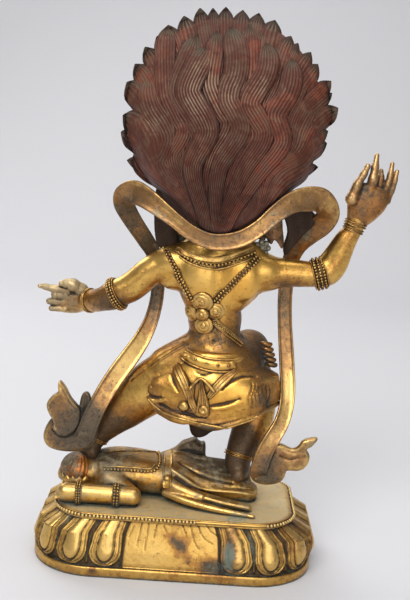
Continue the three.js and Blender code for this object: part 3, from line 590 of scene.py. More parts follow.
@dataclass(frozen=True)
class Sight:
    """The camera, and how marks in its picture are carried to the object."""

    eye: Triple = (7.7, -450.0, 200.0)
    pitch: float = 10.2
    roll: float = 3.7
    focal: float = 1022.0
    width: int = 410
    height: int = 600

    def axes(self) -> tuple[Array, Array, Array]:
        """The directions to the right, up and ahead in the picture."""
        pitch, roll = math.radians(self.pitch), math.radians(self.roll)
        ahead = np.array([0, math.cos(pitch), -math.sin(pitch)])
        level = np.array([1.0, 0, 0])
        above = np.cross(level, ahead)
        right = level * math.cos(roll) + above * math.sin(roll)
        up = above * math.cos(roll) - level * math.sin(roll)
        return right, up, ahead

    def ways(self, marks: Marks) -> Array:
        """The direction of each mark from the camera, one millimetre deep."""
        right, up, ahead = self.axes()
        table = np.asarray(marks, float)
        across = (table[:, 0] - self.width / 2) / self.focal
        above = (self.height / 2 - table[:, 1]) / self.focal
        ways = ahead + right * across[:, None] + up * above[:, None]
        return ways / ways[:, 1:2]

    def picture(self, points: Array) -> Array:
        """Where points of the frame show in the picture."""
        right, up, ahead = self.axes()
        away = points - np.array(self.eye)
        depth = away @ ahead
        return np.stack([self.width / 2 + self.focal * (away @ right) / depth,
            self.height / 2 - self.focal * (away @ up) / depth], axis=1)

    def stains_and_painted_light(self, points: Array, spots: Rows) -> Array:
        """How stained each of the figures' points is, and how much painted shade and painted highlight it
        carries.

        Args:
            points: The points.
            spots: Each spot's middle and reach in the picture, and how dark it is; spots give stain, painted
                shade and, below zero, painted highlight.

        Returns:
            The spots' sum at each point.
        """
        marks = self.picture(points + (FIGURES_SHIFT, 0, 0))
        total = np.zeros(len(points))
        for u, v, across, down, dark in spots:
            total += dark * np.exp(-((marks[:, 0] - u) / across) ** 2 - ((marks[:, 1] - v) / down) ** 2)
        return total

    def eye_of_figures(self) -> Array:
        """The camera's place seen from the figures, which stand a little to the side."""
        return np.array(self.eye) - (FIGURES_SHIFT, 0, 0)

    def at_depth(self, marks: Marks, depth: float | Array) -> Array:
        """The points behind marks at a given Y."""
        start = self.eye_of_figures()
        reach = np.broadcast_to(np.asarray(depth, float) - start[1], len(marks))
        return start + self.ways(marks) * reach[:, None]

    def outline(self, marks: Marks, depth: float) -> Array:
        """A drawn outline as [x, z] at a given Y, smoothed."""
        smooth = curve_through([*marks, marks[0]], 3)[:-1]
        return self.at_depth(smooth, depth)[:, [0, 2]]

    def onto(self, clay: Clay, marks: Marks, step: float = 0.8) -> tuple[Array, Array]:
        """Carries a drawn line onto the clay.

        Args:
            clay: What it lies on.
            marks: The line's marks in the picture.
            step: The distance between the points it returns.

        Returns:
            The points on the surface and the surface's direction there.
        """
        smooth = curve_through(marks, 5) if len(marks) > 1 else np.asarray(marks, float)
        starts = self.at_depth(smooth, clay.low[1])
        points = clay.meet(starts, unit(self.ways(smooth)))
        met = (np.abs(clay.sample(points)) < 0.3) & (points[:, 1] < clay.low[1] + DEEPEST_MEETING)
        points = points[met]
        if len(points) > 1:
            points = spaced(points, step)
        return points, clay.normal(points)

    def draw(self, clay: Clay, marks: Marks, sizes: Halves, blend: float, cut: bool, step: float = 0.8,
            deep: tuple[float, float] = (1.0, 0.0)) -> None:
        """Draws a roll or a groove on the clay.

        Args:
            clay: What it is drawn on.
            marks: Its middle line in the picture.
            sizes: Half its width, or several halves along it.
            blend: How soft the seam with the clay is.
            cut: Whether it is a groove.
            step: The distance between its stations.
            deep: Half its depth, as a share of half its width and a length more.
        """
        points, _ = self.onto(clay, marks, step)
        given = np.atleast_1d(sizes)
        half = np.interp(np.linspace(0, 1, len(points)), np.linspace(0, 1, len(given)), given)
        rows = np.hstack([points, half[:, None], deep[0] * half[:, None] + deep[1]])
        clay.limb(rows, blend, per_span=1, cut=cut)


# Shaders


class Wire:
    """A value or colour on its way through a shader."""

    def __init__(self, board: "Board", socket: bpy.types.NodeSocket) -> None:
        """Holds the socket that the value comes from."""
        self.board = board
        self.socket = socket

    def maths(self, operation: str, other: "Wire | float", swapped: bool = False) -> "Wire":
        """Adds one Math node.

        Args:
            operation: The node's operation.
            other: The second value.
            swapped: Whether the second value comes first.

        Returns:
            The node's result.
        """
        pair = (other, self) if swapped else (self, other)
        node = self.board.node("ShaderNodeMath", {"operation": operation}, {0: pair[0], 1: pair[1]})
        return Wire(self.board, node.outputs[0])

    __add__ = partialmethod(maths, "ADD")
    __radd__ = partialmethod(maths, "ADD", swapped=True)
    __sub__ = partialmethod(maths, "SUBTRACT")
    __rsub__ = partialmethod(maths, "SUBTRACT", swapped=True)
    __mul__ = partialmethod(maths, "MULTIPLY")
    __rmul__ = partialmethod(maths, "MULTIPLY", swapped=True)
    most = partialmethod(maths, "MAXIMUM")
    least = partialmethod(maths, "MINIMUM")

    def held(self) -> "Wire":
        """The value kept between 0 and 1."""
        return self.most(0.0).least(1.0)

    def between(self, low: float, high: float) -> "Wire":
        """Rises smoothly from 0 at `low` to 1 at `high`."""
        node = self.board.node("ShaderNodeMapRange", {"interpolation_type": "SMOOTHSTEP"},
            {"Value": self, "From Min": low, "From Max": high})
        return Wire(self.board, node.outputs[0])


class Board:
    """A material's nodes, laid out from Python expressions."""

    def __init__(self, name: str) -> None:
        """Starts an empty material."""
        self.material = bpy.data.materials.new(name)
        self.material.use_nodes = True
        self.tree = self.material.node_tree
        self.tree.nodes.clear()
        self.place = self.output("ShaderNodeTexCoord", "Object")

    def node(self, kind: str, settings: dict[str, object] | None = None,
            sockets: dict[str | int, object] | None = None) -> bpy.types.Node:
        """Adds one node.

        Args:
            kind: The node's type.
            settings: Its properties, set first.
            sockets: Values or wires for its inputs, by name or number.

        Returns:
            The node.
        """
        node = self.tree.nodes.new(kind)
        for key, value in (settings or {}).items():
            setattr(node, key, value)
        for key, value in (sockets or {}).items():
            socket = node.inputs[key]
            if isinstance(value, Wire):
                self.tree.links.new(value.socket, socket)
            elif isinstance(value, tuple) and socket.type == "RGBA":
                socket.default_value = (*value, 1.0)
            else:
                socket.default_value = value
        return node

    def output(self, kind: str, name: str | int = 0, settings: dict[str, object] | None = None,
            sockets: dict[str | int, object] | None = None) -> Wire:
        """Adds one node and takes one of its outputs."""
        return Wire(self, self.node(kind, settings, sockets).outputs[name])

    def grain(self, size: float, detail: float, warp: float = 0.0) -> Wire:
        """Cloudy noise around 0.5, in clouds of a size in millimetres."""
        return self.output("ShaderNodeTexNoise", 0, None, {"Vector": self.place,
            "Scale": 1 / (size * METRES), "Detail": detail, "Roughness": 0.6, "Distortion": warp})

    def tag(self, name: str) -> Wire:
        """A value that the mesh carries at its points."""
        return self.output("ShaderNodeAttribute", "Fac", {"attribute_name": name})

    def mixed(self, share: "Wire | float", first: "Wire | Colour", second: "Wire | Colour") -> Wire:
        """A colour between two."""
        node = self.node("ShaderNodeMix", {"data_type": "RGBA"}, {0: share, 6: first, 7: second})
        return Wire(self, node.outputs[2])

    def part(self, axis: int) -> Wire:
        """The object's own X, Y or Z in metres."""
        return self.output("ShaderNodeSeparateXYZ", axis, None, {0: self.place})

    def crevice(self, reach: float) -> Wire:
        """How closed in a place is, from 0 in the open to 1 deep in a gap."""
        open_air = self.output("ShaderNodeAmbientOcclusion", "AO", {"samples": 6, "only_local": False},
            {"Distance": reach * METRES})
        return 1.0 - open_air

    def finish(self, colour: "Wire | Colour", rough: "Wire | float", metal: "Wire | float",
            height: Wire | None = None, depth: float = 0.1,
            fixed: dict[str, object] | None = None) -> bpy.types.Material:
        """Joins the wires to the shader.

        Args:
            colour: The base colour.
            rough: The roughness.
            metal: How metallic it is.
            height: The relief too fine for the mesh.
            depth: That relief's depth in millimetres.
            fixed: Plain values for the shader's other sockets.

        Returns:
            The material.
        """
        sockets = {"Base Color": colour, "Roughness": rough, "Metallic": metal, **(fixed or {})}
        if height is not None:
            sockets["Normal"] = self.output("ShaderNodeBump", 0, None,
                {"Height": height, "Distance": depth * METRES, "Strength": 1.0})
        shader = self.output("ShaderNodeBsdfPrincipled", 0, None, sockets)
        self.node("ShaderNodeOutputMaterial", None, {"Surface": shader})
        return self.material


@dataclass(frozen=True)
class GiltFinish:
    """Fire-gilt bronze, kept bright where it is handled and brown or green where it isn't; its browns and
    blacks also hold painted shade, and its pale gold painted highlight.
    """

    name: str
    gold: Colour = (0.62, 0.365, 0.09)
    pale: Colour = (0.76, 0.52, 0.19)
    orange: Colour = (0.385, 0.185, 0.052)
    patina_and_shade: Colour = (0.098, 0.072, 0.045)
    black: Colour = (0.014, 0.010, 0.007)
    olive: Colour = (0.33, 0.27, 0.16)
    green: Colour = (0.16, 0.20, 0.16)
    ground: Colour = (0.50, 0.455, 0.32)
    warm: Colour = (0.84, 0.41, 0.065)
    tarnish: float = 0.35
    dull: float = 0.25
    verdigris: float = 0.2
    polish: float = 0.33

    def material(self) -> bpy.types.Material:
        """Builds the finish's material."""
        board = Board(self.name)
        cloud = board.grain(17, 3, 0.4)
        patch = board.grain(5.5, 5, 0.9)
        mottle = board.grain(2.1, 5, 0.6)
        speck = board.grain(0.8, 3)
        fine = board.grain(0.3, 2)
        hollow = board.tag("hollow")
        shade = board.tag("shade")
        gap = board.crevice(5)
        tight = board.crevice(1.4)
        # How tarnished and how shaded each place is: the noise gives tarnish, while the shade tag and the
        # crevices paint shade, and the shade tag below zero paints highlight.
        level = (shade * 1.15 + patch.between(0.28, 0.72) * 0.26 + mottle.between(0.28, 0.72) * 0.22
            + cloud.between(0.30, 0.70) * 0.22 + speck.between(0.3, 0.7) * 0.08 + gap * 0.5
            + (self.tarnish - 0.71))
        colour = board.mixed(level.between(0.0, 0.42), self.gold, self.orange)
        # Pale gold from wear on raised places, and painted highlight where the shade tag is below zero.
        worn_and_lit = (patch * 0.7 - hollow - level - 0.1).between(0.0, 0.6)
        colour = board.mixed(worn_and_lit * 0.5, colour, self.pale)
        colour = board.mixed((board.tag("warm") * (0.45 + patch * 0.9)).held() * 0.8, colour, self.warm)
        # Brown where tarnish is thick, and painted shade where the shade tag is high.
        brown = level.between(0.30, 0.94)
        colour = board.mixed(brown * 0.96, colour, self.patina_and_shade)
        ground = board.mixed((speck * 0.6 + mottle * 0.6).between(0.48, 0.76), self.ground, self.pale)
        ground = board.mixed((patch * 0.8 + cloud * 0.5).between(0.66, 0.90) * 0.5, ground, self.patina_and_shade)
        matt = (patch * 0.7 + mottle * 0.5 + cloud * 0.4 - 0.30).between(0.1, 0.5) * board.tag("matt")
        colour = board.mixed(matt, colour, ground)
        olive = (patch * 0.8 + cloud * 0.7).between(1.02 - self.dull, 1.22 - self.dull)
        colour = board.mixed(olive * 0.7, colour, self.olive)
        # Near-black in crevices and hollows: painted shade with some grime; the dots are dark specks on the
        # gilding.
        deep = (gap * 0.9 + tight * 0.7 + hollow * 1.25 + mottle * 0.5 - 0.38).between(0.16, 0.62)
        dots = (speck * 0.75 + mottle * 0.65 + shade * 0.08).between(0.83 - self.tarnish * 0.14, 0.96) * 0.7
        dark = (deep + dots).held()
        colour = board.mixed(dark * 0.94, colour, self.black)
        bloom = ((patch * 0.6 + speck * 0.6 + gap * 0.5 + board.tag("bloom") * 0.75)
            .between(1.02 - self.verdigris * 0.5, 1.22 - self.verdigris * 0.4)) * 0.75
        colour = board.mixed(bloom, colour, self.green)
        rough = (self.polish + matt * 0.25 + fine * 0.12 + dark * 0.25 + brown * 0.14 + olive * 0.15
            + bloom * 0.3)
        metal = (1.0 - matt * 0.8 - dark * 0.5 - bloom * 0.8 - olive * 0.25 - brown * 0.3).held()
        height = fine * 0.25 + speck * 0.45 + mottle * 0.8 + patch * 1.1
        return board.finish(colour, rough.least(0.92), metal, height, 0.085)


@dataclass(frozen=True)
class HairFinish:
    """Red-brown pigment over bronze, pinkish on the ridges from wear and painted highlight, with painted
    shade between strands and locks.
    """

    name: str = "red_hair_paint"
    dark: Colour = (0.018, 0.008, 0.007)
    red: Colour = (0.088, 0.026, 0.014)
    brick: Colour = (0.205, 0.046, 0.022)
    umber: Colour = (0.105, 0.058, 0.035)
    rubbed_and_sheen: Colour = (0.33, 0.22, 0.145)
    metal_green: Colour = (0.10, 0.088, 0.06)

    def material(self) -> bpy.types.Material:
        """Builds the finish's material."""
        board = Board(self.name)
        cloud = board.grain(18, 3, 0.5)
        patch = board.grain(4.5, 4, 0.6)
        speck = board.grain(0.9, 3)
        strand = board.tag("strand")
        tip = board.tag("tip")
        tint = board.tag("tint")
        gap = board.crevice(4)
        height_up = board.part(2)
        low = 1.0 - height_up.between(0.160, 0.200)
        rub_and_sheen_zone = board.tag("rub")
        colour = board.mixed((cloud * 0.9 + patch * 0.7 + tint * 0.07).between(0.76, 0.98) * 0.9,
            self.red, self.brick)
        ash = (patch * 1.1 + cloud * 0.4 + tint * -0.06 + speck * 0.25).between(0.78, 1.02)
        colour = board.mixed(ash * 0.7, colour, self.umber)
        # Pinkish ridges from wear and painted highlight, strongest at the marked places and fading low down.
        rub = ((strand * 1.0 + rub_and_sheen_zone * 0.7 + patch * 0.8 + speck * 0.4 + tint * 0.1 - low * 0.3)
            .between(1.45, 2.20))
        colour = board.mixed(rub * 0.85, colour, self.rubbed_and_sheen)
        bare = (tip * 1.1 + patch * 0.6 - 0.75).between(0.3, 0.75)
        colour = board.mixed(bare * 0.85, colour, self.metal_green)
        # Painted shade in the grooves between strands and locks and in crevices, darker towards the bottom.
        groove = ((1.0 - strand) * 0.80 + gap * 0.9 + low * 0.2).between(0.42, 1.10)
        colour = board.mixed(groove, colour, self.dark)
        rough = 0.40 + speck * 0.2 + groove * 0.3 - rub * 0.1
        return board.finish(colour, rough, bare * 0.35, speck + patch * 0.5, 0.05,
            {"Specular IOR Level": 0.25})


@dataclass(frozen=True)
class PlainFinish:
    """An even, slightly mottled surface for the studio."""

    name: str
    colour: Colour
    roughness: float = 0.8

    def material(self) -> bpy.types.Material:
        """Builds the finish's material."""
        board = Board(self.name)
        cloud = board.grain(260, 3)
        tone = board.mixed(cloud, tuple(0.96 * value for value in self.colour), self.colour)
        return board.finish(tone, self.roughness, 0.0)


class Dresser:
    """Turns shells into Blender pieces that stand for the solids."""

    def __init__(self, sight: Sight) -> None:
        """Takes the camera that stains are marked by, and starts with no finishes made."""
        self.sight = sight
        self.materials: dict[str, bpy.types.Material] = {}

    def piece(self, shell: Shell, name: str, finish: GiltFinish | HairFinish, node: str,
            slot: str = "gilt_bronze", shift: float = FIGURES_SHIFT, **stains_and_painted_light: Rows) -> None:
        """Places one piece.

        Args:
            shell: Its surface.
            name: Its name.
            finish: What it is finished with.
            node: The solid it stands for.
            slot: The record's material slot. Not used.
            shift: How far it moves along X.
            **stains_and_painted_light: The stain, painted shade and painted highlight spots of each tag that
                                        its finish reads.
        """
        # Each tag's spots carry stain, painted shade and painted highlight.
        for tag, spots in stains_and_painted_light.items():
            shell.tags[tag] = self.sight.stains_and_painted_light(shell.points, spots)
        if finish.name not in self.materials:
            self.materials[finish.name] = finish.material()
        piece = bpy.data.objects.new(name, shell.mesh(name, shift))
        bpy.context.scene.collection.objects.link(piece)
        piece.data.materials.append(self.materials[finish.name])
        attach(piece, "root")
        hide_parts(node)
        LOG.info("%s: %d faces", name, len(piece.data.polygons))


# Lotus plinth


@dataclass
class LotusPlinth:
    """The low oval plinth: foot band, petalled wall, beaded rim and flat top."""

    length: float = 126.0
    depth: float = 70.0
    height: float = 27.0
    band: float = 4.4
    side_flare: float = 10.0
    back_flare: float = 5.0
    corners: tuple[float, float, float, float] = (28.0, 18.0, 20.0, 13.0)
    panel_half: float = 21.5
    petals: int = 20
    petal_rise: float = 1.3
    lobe_rise: float = 2.6
    wall_low: float = 4.6
    wall_high: float = 24.4
    around: int = 800
    right_bulge: float = 1.9
    foot_profile: Rows = ((0.0, 0.05), (0.35, 0.015), (0.9, 0.0), (2.0, 0.0), (3.0, 0.0), (3.7, 0.0),
        (4.15, 0.02), (4.4, 0.07))
    wall_profile: Rows = ((3, 0.10, 0.10, 0.0), (4.6, 0.13, 0.12, 0.55), (6.4, 0.17, 0.06, 1.0),
        (11, 0.36, 0.10, 1.0), (18.5, 0.81, 0.30, 0.8), (24.4, 1.1, 1.1, 0.35))
    rim_profile: Rows = ((24.6, 1.0), (24.9, 0.97), (25.3, 0.99), (25.6, 1.05), (26.2, 1.05), (26.6, 1.03),
        (26.9, 1.05), (27.0, 1.10))
    top_rings: int = 18
    panel_y: float = -33.0
    strokes: tuple[Marks, ...] = (
        ((141, 528), (136, 548)),
        ((148, 527), (144, 552)),
        ((133, 530), (128, 540)),
        ((156, 529), (153, 541)),
        ((190, 530), (194, 545), (199, 552)),
        ((197, 528), (203, 541), (212, 547)),
        ((206, 528), (211, 536), (219, 540)),
        ((163, 530), (166, 536)),
        ((182, 528), (186, 540)))
    finish: GiltFinish = GiltFinish("gilt_plinth", tarnish=0.33, dull=0.14, verdigris=0.34, polish=0.28)
    bead_finish: GiltFinish = GiltFinish("gilt_plinth_beads", gold=(0.80, 0.56, 0.22), tarnish=0.1,
        dull=0.0, verdigris=0.0, polish=0.34)

    def edge(self, share: Array, inset: float, ends: float | None = None) -> tuple[Array, Array]:
        """Points and outward directions round the plinth's plan.

        Args:
            share: The share of the way round, from the middle of the back.
            inset: How far the plan is drawn in at the back and front.
            ends: How far it is drawn in at the two ends.

        Returns:
            The points and the directions, with Z at 0.
        """
        ends = inset if ends is None else ends
        half_x = self.length / 2 - ends * self.side_flare
        half_y = self.depth / 2 - inset * self.back_flare
        back = self.corners[0] + (self.corners[1] - self.corners[0]) * inset
        front = self.corners[2] + (self.corners[3] - self.corners[2]) * inset
        side = 2 * half_y - back - front
        arcs = (back * math.pi / 2, front * math.pi / 2)
        legs = np.array([half_x - back, arcs[0], side, arcs[1], 2 * (half_x - front), arcs[1], side,
            arcs[0], half_x - back])
        stops = np.concatenate([[0], np.cumsum(legs)])
        distance = np.mod(share, 1) * stops[-1]
        leg = np.clip(np.searchsorted(stops, distance, side="right") - 1, 0, 8)
        left = distance - stops[leg]
        turn = -math.pi / 2 + (leg // 2) * math.pi / 2
        rear = (leg == 1) | (leg == 7)
        radius = np.where(rear, back, front)
        bent = leg % 2 == 1
        angle = np.where(bent, turn + left / radius, turn)
        outward = np.stack([np.cos(angle), np.sin(angle), np.zeros_like(angle)], axis=-1)
        sign_x = np.where(leg < 4, 1, -1)
        sign_y = np.where(rear, -1, 1)
        centre = np.stack([sign_x * (half_x - radius), sign_y * (half_y - radius)], axis=-1)
        starts = np.array([(0, -half_y), (half_x, back - half_y), (half_x - front, half_y),
            (-half_x, half_y - front), (back - half_x, -half_y)])
        along = np.stack([-np.sin(turn), np.cos(turn)], axis=-1)
        straight = starts[np.clip(leg // 2, 0, 4)] + along * left[..., None]
        curved = centre + outward[..., :2] * radius[..., None]
        plan = np.where(bent[..., None], curved, straight)
        return np.concatenate([plan, np.zeros_like(plan[..., :1])], axis=-1), outward

    def swell(self, points: Array, bulge: float) -> None:
        """Moves the plan's right end outward."""
        points[:, 0] += bulge * ramp(points[:, 0] / (self.length / 2), 0.72, 1.0)

    def carving(self, share: Array, rise: float) -> tuple[Array, Array]:
        """The petals' relief and the hollows between them at one height.

        Args:
            share: The share of the way round.
            rise: The height up the wall, 0 to 1.

        Returns:
            How far each place stands out, and how hollow it is; the finish darkens hollows as painted shade.
        """
        perimeter = 2 * (self.length + self.depth) - (4 - math.pi) * (self.corners[0] + self.corners[2])
        panel = self.panel_half / perimeter
        pitch = (1 - 2 * panel) / self.petals
        pitch_mm = pitch * perimeter / 2
        wall = self.wall_high - self.wall_low
        inside = (share > panel) & (share < 1 - panel)
        place = np.mod((share - panel) / pitch, 1) * 2 - 1
        size = np.abs(place)

        def within(half: float, top: float, middle: float, drop: float) -> Array:
            """How far inside a leaf shape a place is, in millimetres."""
            if rise < middle:
                reach = np.sqrt((size / half) ** 2 + ((middle - rise) / drop) ** 2)
                return (1 - reach) * min(pitch_mm * half, drop * wall)
            width = half + (top - half) * (rise - middle) / (1 - middle)
            return (width - size) * pitch_mm

        outer = within(0.95, 0.80, 0.34, 0.33)
        inner = within(0.50, 0.32, 0.42, 0.30)
        line = np.exp(-((outer - 0.5) / 0.32) ** 2) * 0.75
        line = line + np.exp(-((inner + 0.55) / 0.3) ** 2) * 0.7
        swell = np.sqrt(np.clip(1 - (1 - np.clip(inner / (0.45 * pitch_mm), 0, 1)) ** 2, 0, 1))
        body = self.petal_rise * ramp(outer, -0.2, 0.6) + line
        body += (self.lobe_rise - self.petal_rise) * swell - 0.35 * np.exp(-((inner + 0.1) / 0.3) ** 2)
        dart = 0.9 * ramp(size, 0.86, 1.0) * ramp(rise, 0.02, 0.1) * (1 - ramp(rise, 0.16, 0.42))
        body += dart
        # Painted shade inside and between the petals and along the panel's edges.
        hollow = (1 - ramp(outer, -0.2, 0.7)) * 0.42 + 0.5 * np.exp(-((inner + 0.15) / 0.35) ** 2)
        hollow += 0.5 * np.exp(-((outer - 1.25) / 0.3) ** 2) * (swell < 0.02) - 0.6 * swell
        edge = np.minimum(np.abs(share - panel), np.abs(1 - panel - share)) * perimeter
        groove = np.exp(-(edge / 0.4) ** 2)
        return (np.where(inside, body, 0) - 0.5 * groove, np.where(inside, hollow, 0) + groove * 0.8)

    def body(self, sight: Sight) -> Shell:
        """The plinth in one closed surface."""
        share = np.arange(self.around) / self.around
        table = np.array(self.wall_profile)
        rings, hollows = [], []

        def ring(height: float, inset: float, ends: float | None = None, out: float | Array = 0.0,
                hollow: float | Array = 0.0) -> None:
            """Adds one ring of the wall."""
            points, outward = self.edge(share, inset, ends)
            points = points + outward * np.broadcast_to(out, share.shape)[:, None]
            points[:, 2] = height
            bulge = self.right_bulge * float(ramp(height, 6, 15) * (1 - 0.5 * ramp(height, 21, 26)))
            self.swell(points, bulge)
            rings.append(points)
            hollows.append(np.broadcast_to(hollow, share.shape))

        for height, inset in self.foot_profile:
            ring(height, inset)
        # The hollow values here darken the grooves above the foot and under the rim as painted shade.
        ring(4.5, 0.12, 0.12, -0.6, 0.8)
        for height in np.linspace(self.wall_low, self.wall_high, 58):
            inset, ends, lift = (float(np.interp(height, table[:, 0], table[:, k])) for k in (1, 2, 3))
            rise = (height - self.wall_low) / (self.wall_high - self.wall_low)
            out, hollow = self.carving(share, rise)
            ring(float(height), inset, ends, out * lift - 1.2, hollow)
        ring(24.45, 1.04, 1.04, -0.3, 0.9)
        for height, inset in self.rim_profile:
            ring(height, inset)
        top = self.edge(share, 1.10)[0]
        self.swell(top, self.right_bulge * 0.5)
        for inward in np.linspace(0.97, 0.04, self.top_rings):
            points = top * inward
            points[:, 2] = self.height
            rings.append(points)
            hollows.append(np.zeros(self.around))
        stack = np.array(rings)
        hollow = np.array(hollows, float)
        matt, shade = np.zeros_like(hollow), np.zeros_like(hollow)
        matt[-self.top_rings:] = 0.85
        shade[-self.top_rings:] = 0.10
        near = ramp(-stack[..., 1], 0, 10)
        stack, cut = self.engrave(stack, sight)
        hollow = hollow + cut
        flat = stack.reshape(-1, 3)
        spots = ((174, 541, 6, 6, 0.5), (181, 545, 7, 5, 0.55), (184, 551, 4, 6, 0.45),
            (176, 553, 5, 6, 0.4), (169, 536, 8, 4, 0.3), (186, 539, 6, 4, 0.3), (188, 560, 3, 5, 0.3),
            (212, 566, 15, 9, 0.5), (231, 548, 7, 18, 0.65), (212, 569, 12, 7, 0.5), (92, 571, 4, 3, 0.9),
            (300, 520, 22, 40, 0.3), (228, 562, 8, 22, 0.25), (60, 540, 14, 20, 0.2),
            (120, 545, 5, 12, -0.15), (185, 505, 7, 5, -0.4), (150, 515, 90, 5, -0.3))
        blooms = ((230, 556, 7, 16, 0.8), (211, 567, 9, 6, 0.45), (236, 520, 12, 5, 0.6),
            (230, 590, 8, 3, 0.7), (250, 545, 6, 14, 0.3), (60, 520, 16, 8, 0.3), (300, 512, 14, 10, 0.35))
        stained, greened = (sight.stains_and_painted_light(flat - (FIGURES_SHIFT, 0, 0), rows).reshape(shade.shape)
            for rows in (spots, blooms))
        shade = shade + stained * near - matt * 0.12
        return tube(stack, {"hollow": hollow, "shade": shade, "matt": matt, "bloom": greened * near})

    def engrave(self, stack: Array, sight: Sight) -> tuple[Array, Array]:
        """Cuts the faint strokes on the plain back panel.

        Args:
            stack: The wall's points.
            sight: The camera, which the strokes were drawn by.

        Returns:
            The cut points, and how hollow each became.
        """
        cut = np.zeros(stack.shape[:2])
        face = stack[..., 1] < self.panel_y + 5
        for stroke in self.strokes:
            smooth = curve_through(stroke, 4) if len(stroke) > 2 else np.asarray(stroke, float)
            line = sight.at_depth(smooth, self.panel_y) + (FIGURES_SHIFT, 0, 0)
            for start, end in zip(line[:, ::2], line[1:, ::2]):
                gap = off_line(stack[..., 0], stack[..., 2], start, end)
                cut = np.maximum(cut, np.exp(-(gap / 0.26) ** 2) * face)
        moved = stack.copy()
        moved[..., 1] += 0.2 * cut
        return moved, 0.42 * cut

    def rim_beads(self) -> Shell:
        """The bead row on the rim's outer edge, lost to wear along part of the back."""
        share = np.linspace(0.052, 0.985, 900)
        share = share[share > 0.135]
        full = np.concatenate([share, np.linspace(0.985, 1.031, 40)])
        points, outward = self.edge(full, 0.99)
        self.swell(points, self.right_bulge * 0.5)
        points[:, 2] = self.height - 1.0
        lift = unit(outward * 0.9 + np.array([0, 0, 0.35]))
        return BeadString(0.78, 1.62, 0.1).along(points, lift, 11)

    def worn_edge(self) -> Shell:
        """The plain half-round edge where the beads have gone."""
        points, _ = self.edge(np.linspace(0.033, 0.134, 60), 0.985)
        points[:, 2] = self.height - 0.85
        stations = np.hstack([points, np.tile((0.62, 0.6), (len(points), 1))])
        return swept(stations, Section.ROUND, UP, dome=1.0)

    def build(self, dresser: Dresser, sight: Sight) -> None:
        """Builds and dresses the plinth."""
        node = "lotus_plinth"
        dresser.piece(self.body(sight), "plinth_body", self.finish, node, shift=0.0)
        dresser.piece(self.rim_beads(), "plinth_beads", self.bead_finish, node, shift=0.0)
        dresser.piece(self.worn_edge(), "plinth_worn_edge", self.finish, node, shift=0.0)


# What is laid on a surface


class Trim:
    """Strips, beads, rivets and bosses laid on one lump of clay by marks in the picture."""

    def __init__(self, clay: Clay, sight: Sight) -> None:
        """Starts with nothing laid."""
        self.clay = clay
        self.sight = sight
        self.parts: list[Shell] = []

    def strip(self, marks: Marks, half: Halves, deep: float, section: Section = Section.ROUND,
            lift: float = 0.0) -> None:
        """Lays a strip along marks.

        Args:
            marks: The strip's middle line in the picture.
            half: Half its width, or several halves along it.
            deep: Half its depth.
            section: Its cross-section.
            lift: How far its middle stands off the surface.
        """
        points, normals = self.sight.onto(self.clay, marks, 0.6)
        for _ in range(2):
            normals = unit(np.vstack([
                normals[:1], (normals[:-2] + normals[1:-1] + normals[2:]), normals[-1:]]))
        given = np.atleast_1d(half)
        halves = np.interp(np.linspace(0, 1, len(points)), np.linspace(0, 1, len(given)), given)
        sizes = np.stack([halves, np.full_like(halves, deep)], axis=1)
        stations = np.hstack([points + normals * lift, sizes])
        self.parts.append(swept(stations, section, normals, dome=0.9))

    def beads(self, marks: Marks, radius: float, pitch: float, seed: int, lift: float = 0.0) -> None:
        """Lays a bead row along marks."""
        points, normals = self.sight.onto(self.clay, marks, 0.5)
        self.parts.append(BeadString(radius, pitch).along(points + normals * lift, normals, seed))

    def boss(self, mark: tuple[float, float], radius: float, height: float, lift: float = 0.0,
            dish: float = 0.0) -> None:
        """Sets a round boss on the surface.

        Args:
            mark: Its middle in the picture.
            radius: Its radius.
            height: How far it stands out.
            lift: How far its foot is off the surface.
            dish: How deep its middle is sunk, in heights.
        """
        points, normals = self.sight.onto(self.clay, [mark])
        self.parts.append(self.dome(points[0] + normals[0] * lift, normals[0], radius, height, dish))

    @staticmethod
    def dome(place: Array, normal: Array, radius: float, height: float, dish: float = 0.0) -> Shell:
        """A round boss at a place, looking along a direction."""
        side = unit(np.cross(normal, (0.3, 0.2, 1.0)))
        rise = np.cross(side, normal)
        turn = turns(22)
        circle = np.outer(np.cos(turn), side) + np.outer(np.sin(turn), rise)
        rings = [place - normal * height * 0.8 + circle * radius]
        for angle in np.linspace(0, 1.5, 9):
            reach = math.cos(angle)
            sunk = dish * math.exp(-(reach / 0.34) ** 2)
            rings.append(place + normal * height * (math.sin(angle) - sunk) + circle * radius * reach)
        return tube(np.array(rings))

    def shell(self) -> Shell:
        """Everything laid, as one shell."""
        return Shell.joined(self.parts)


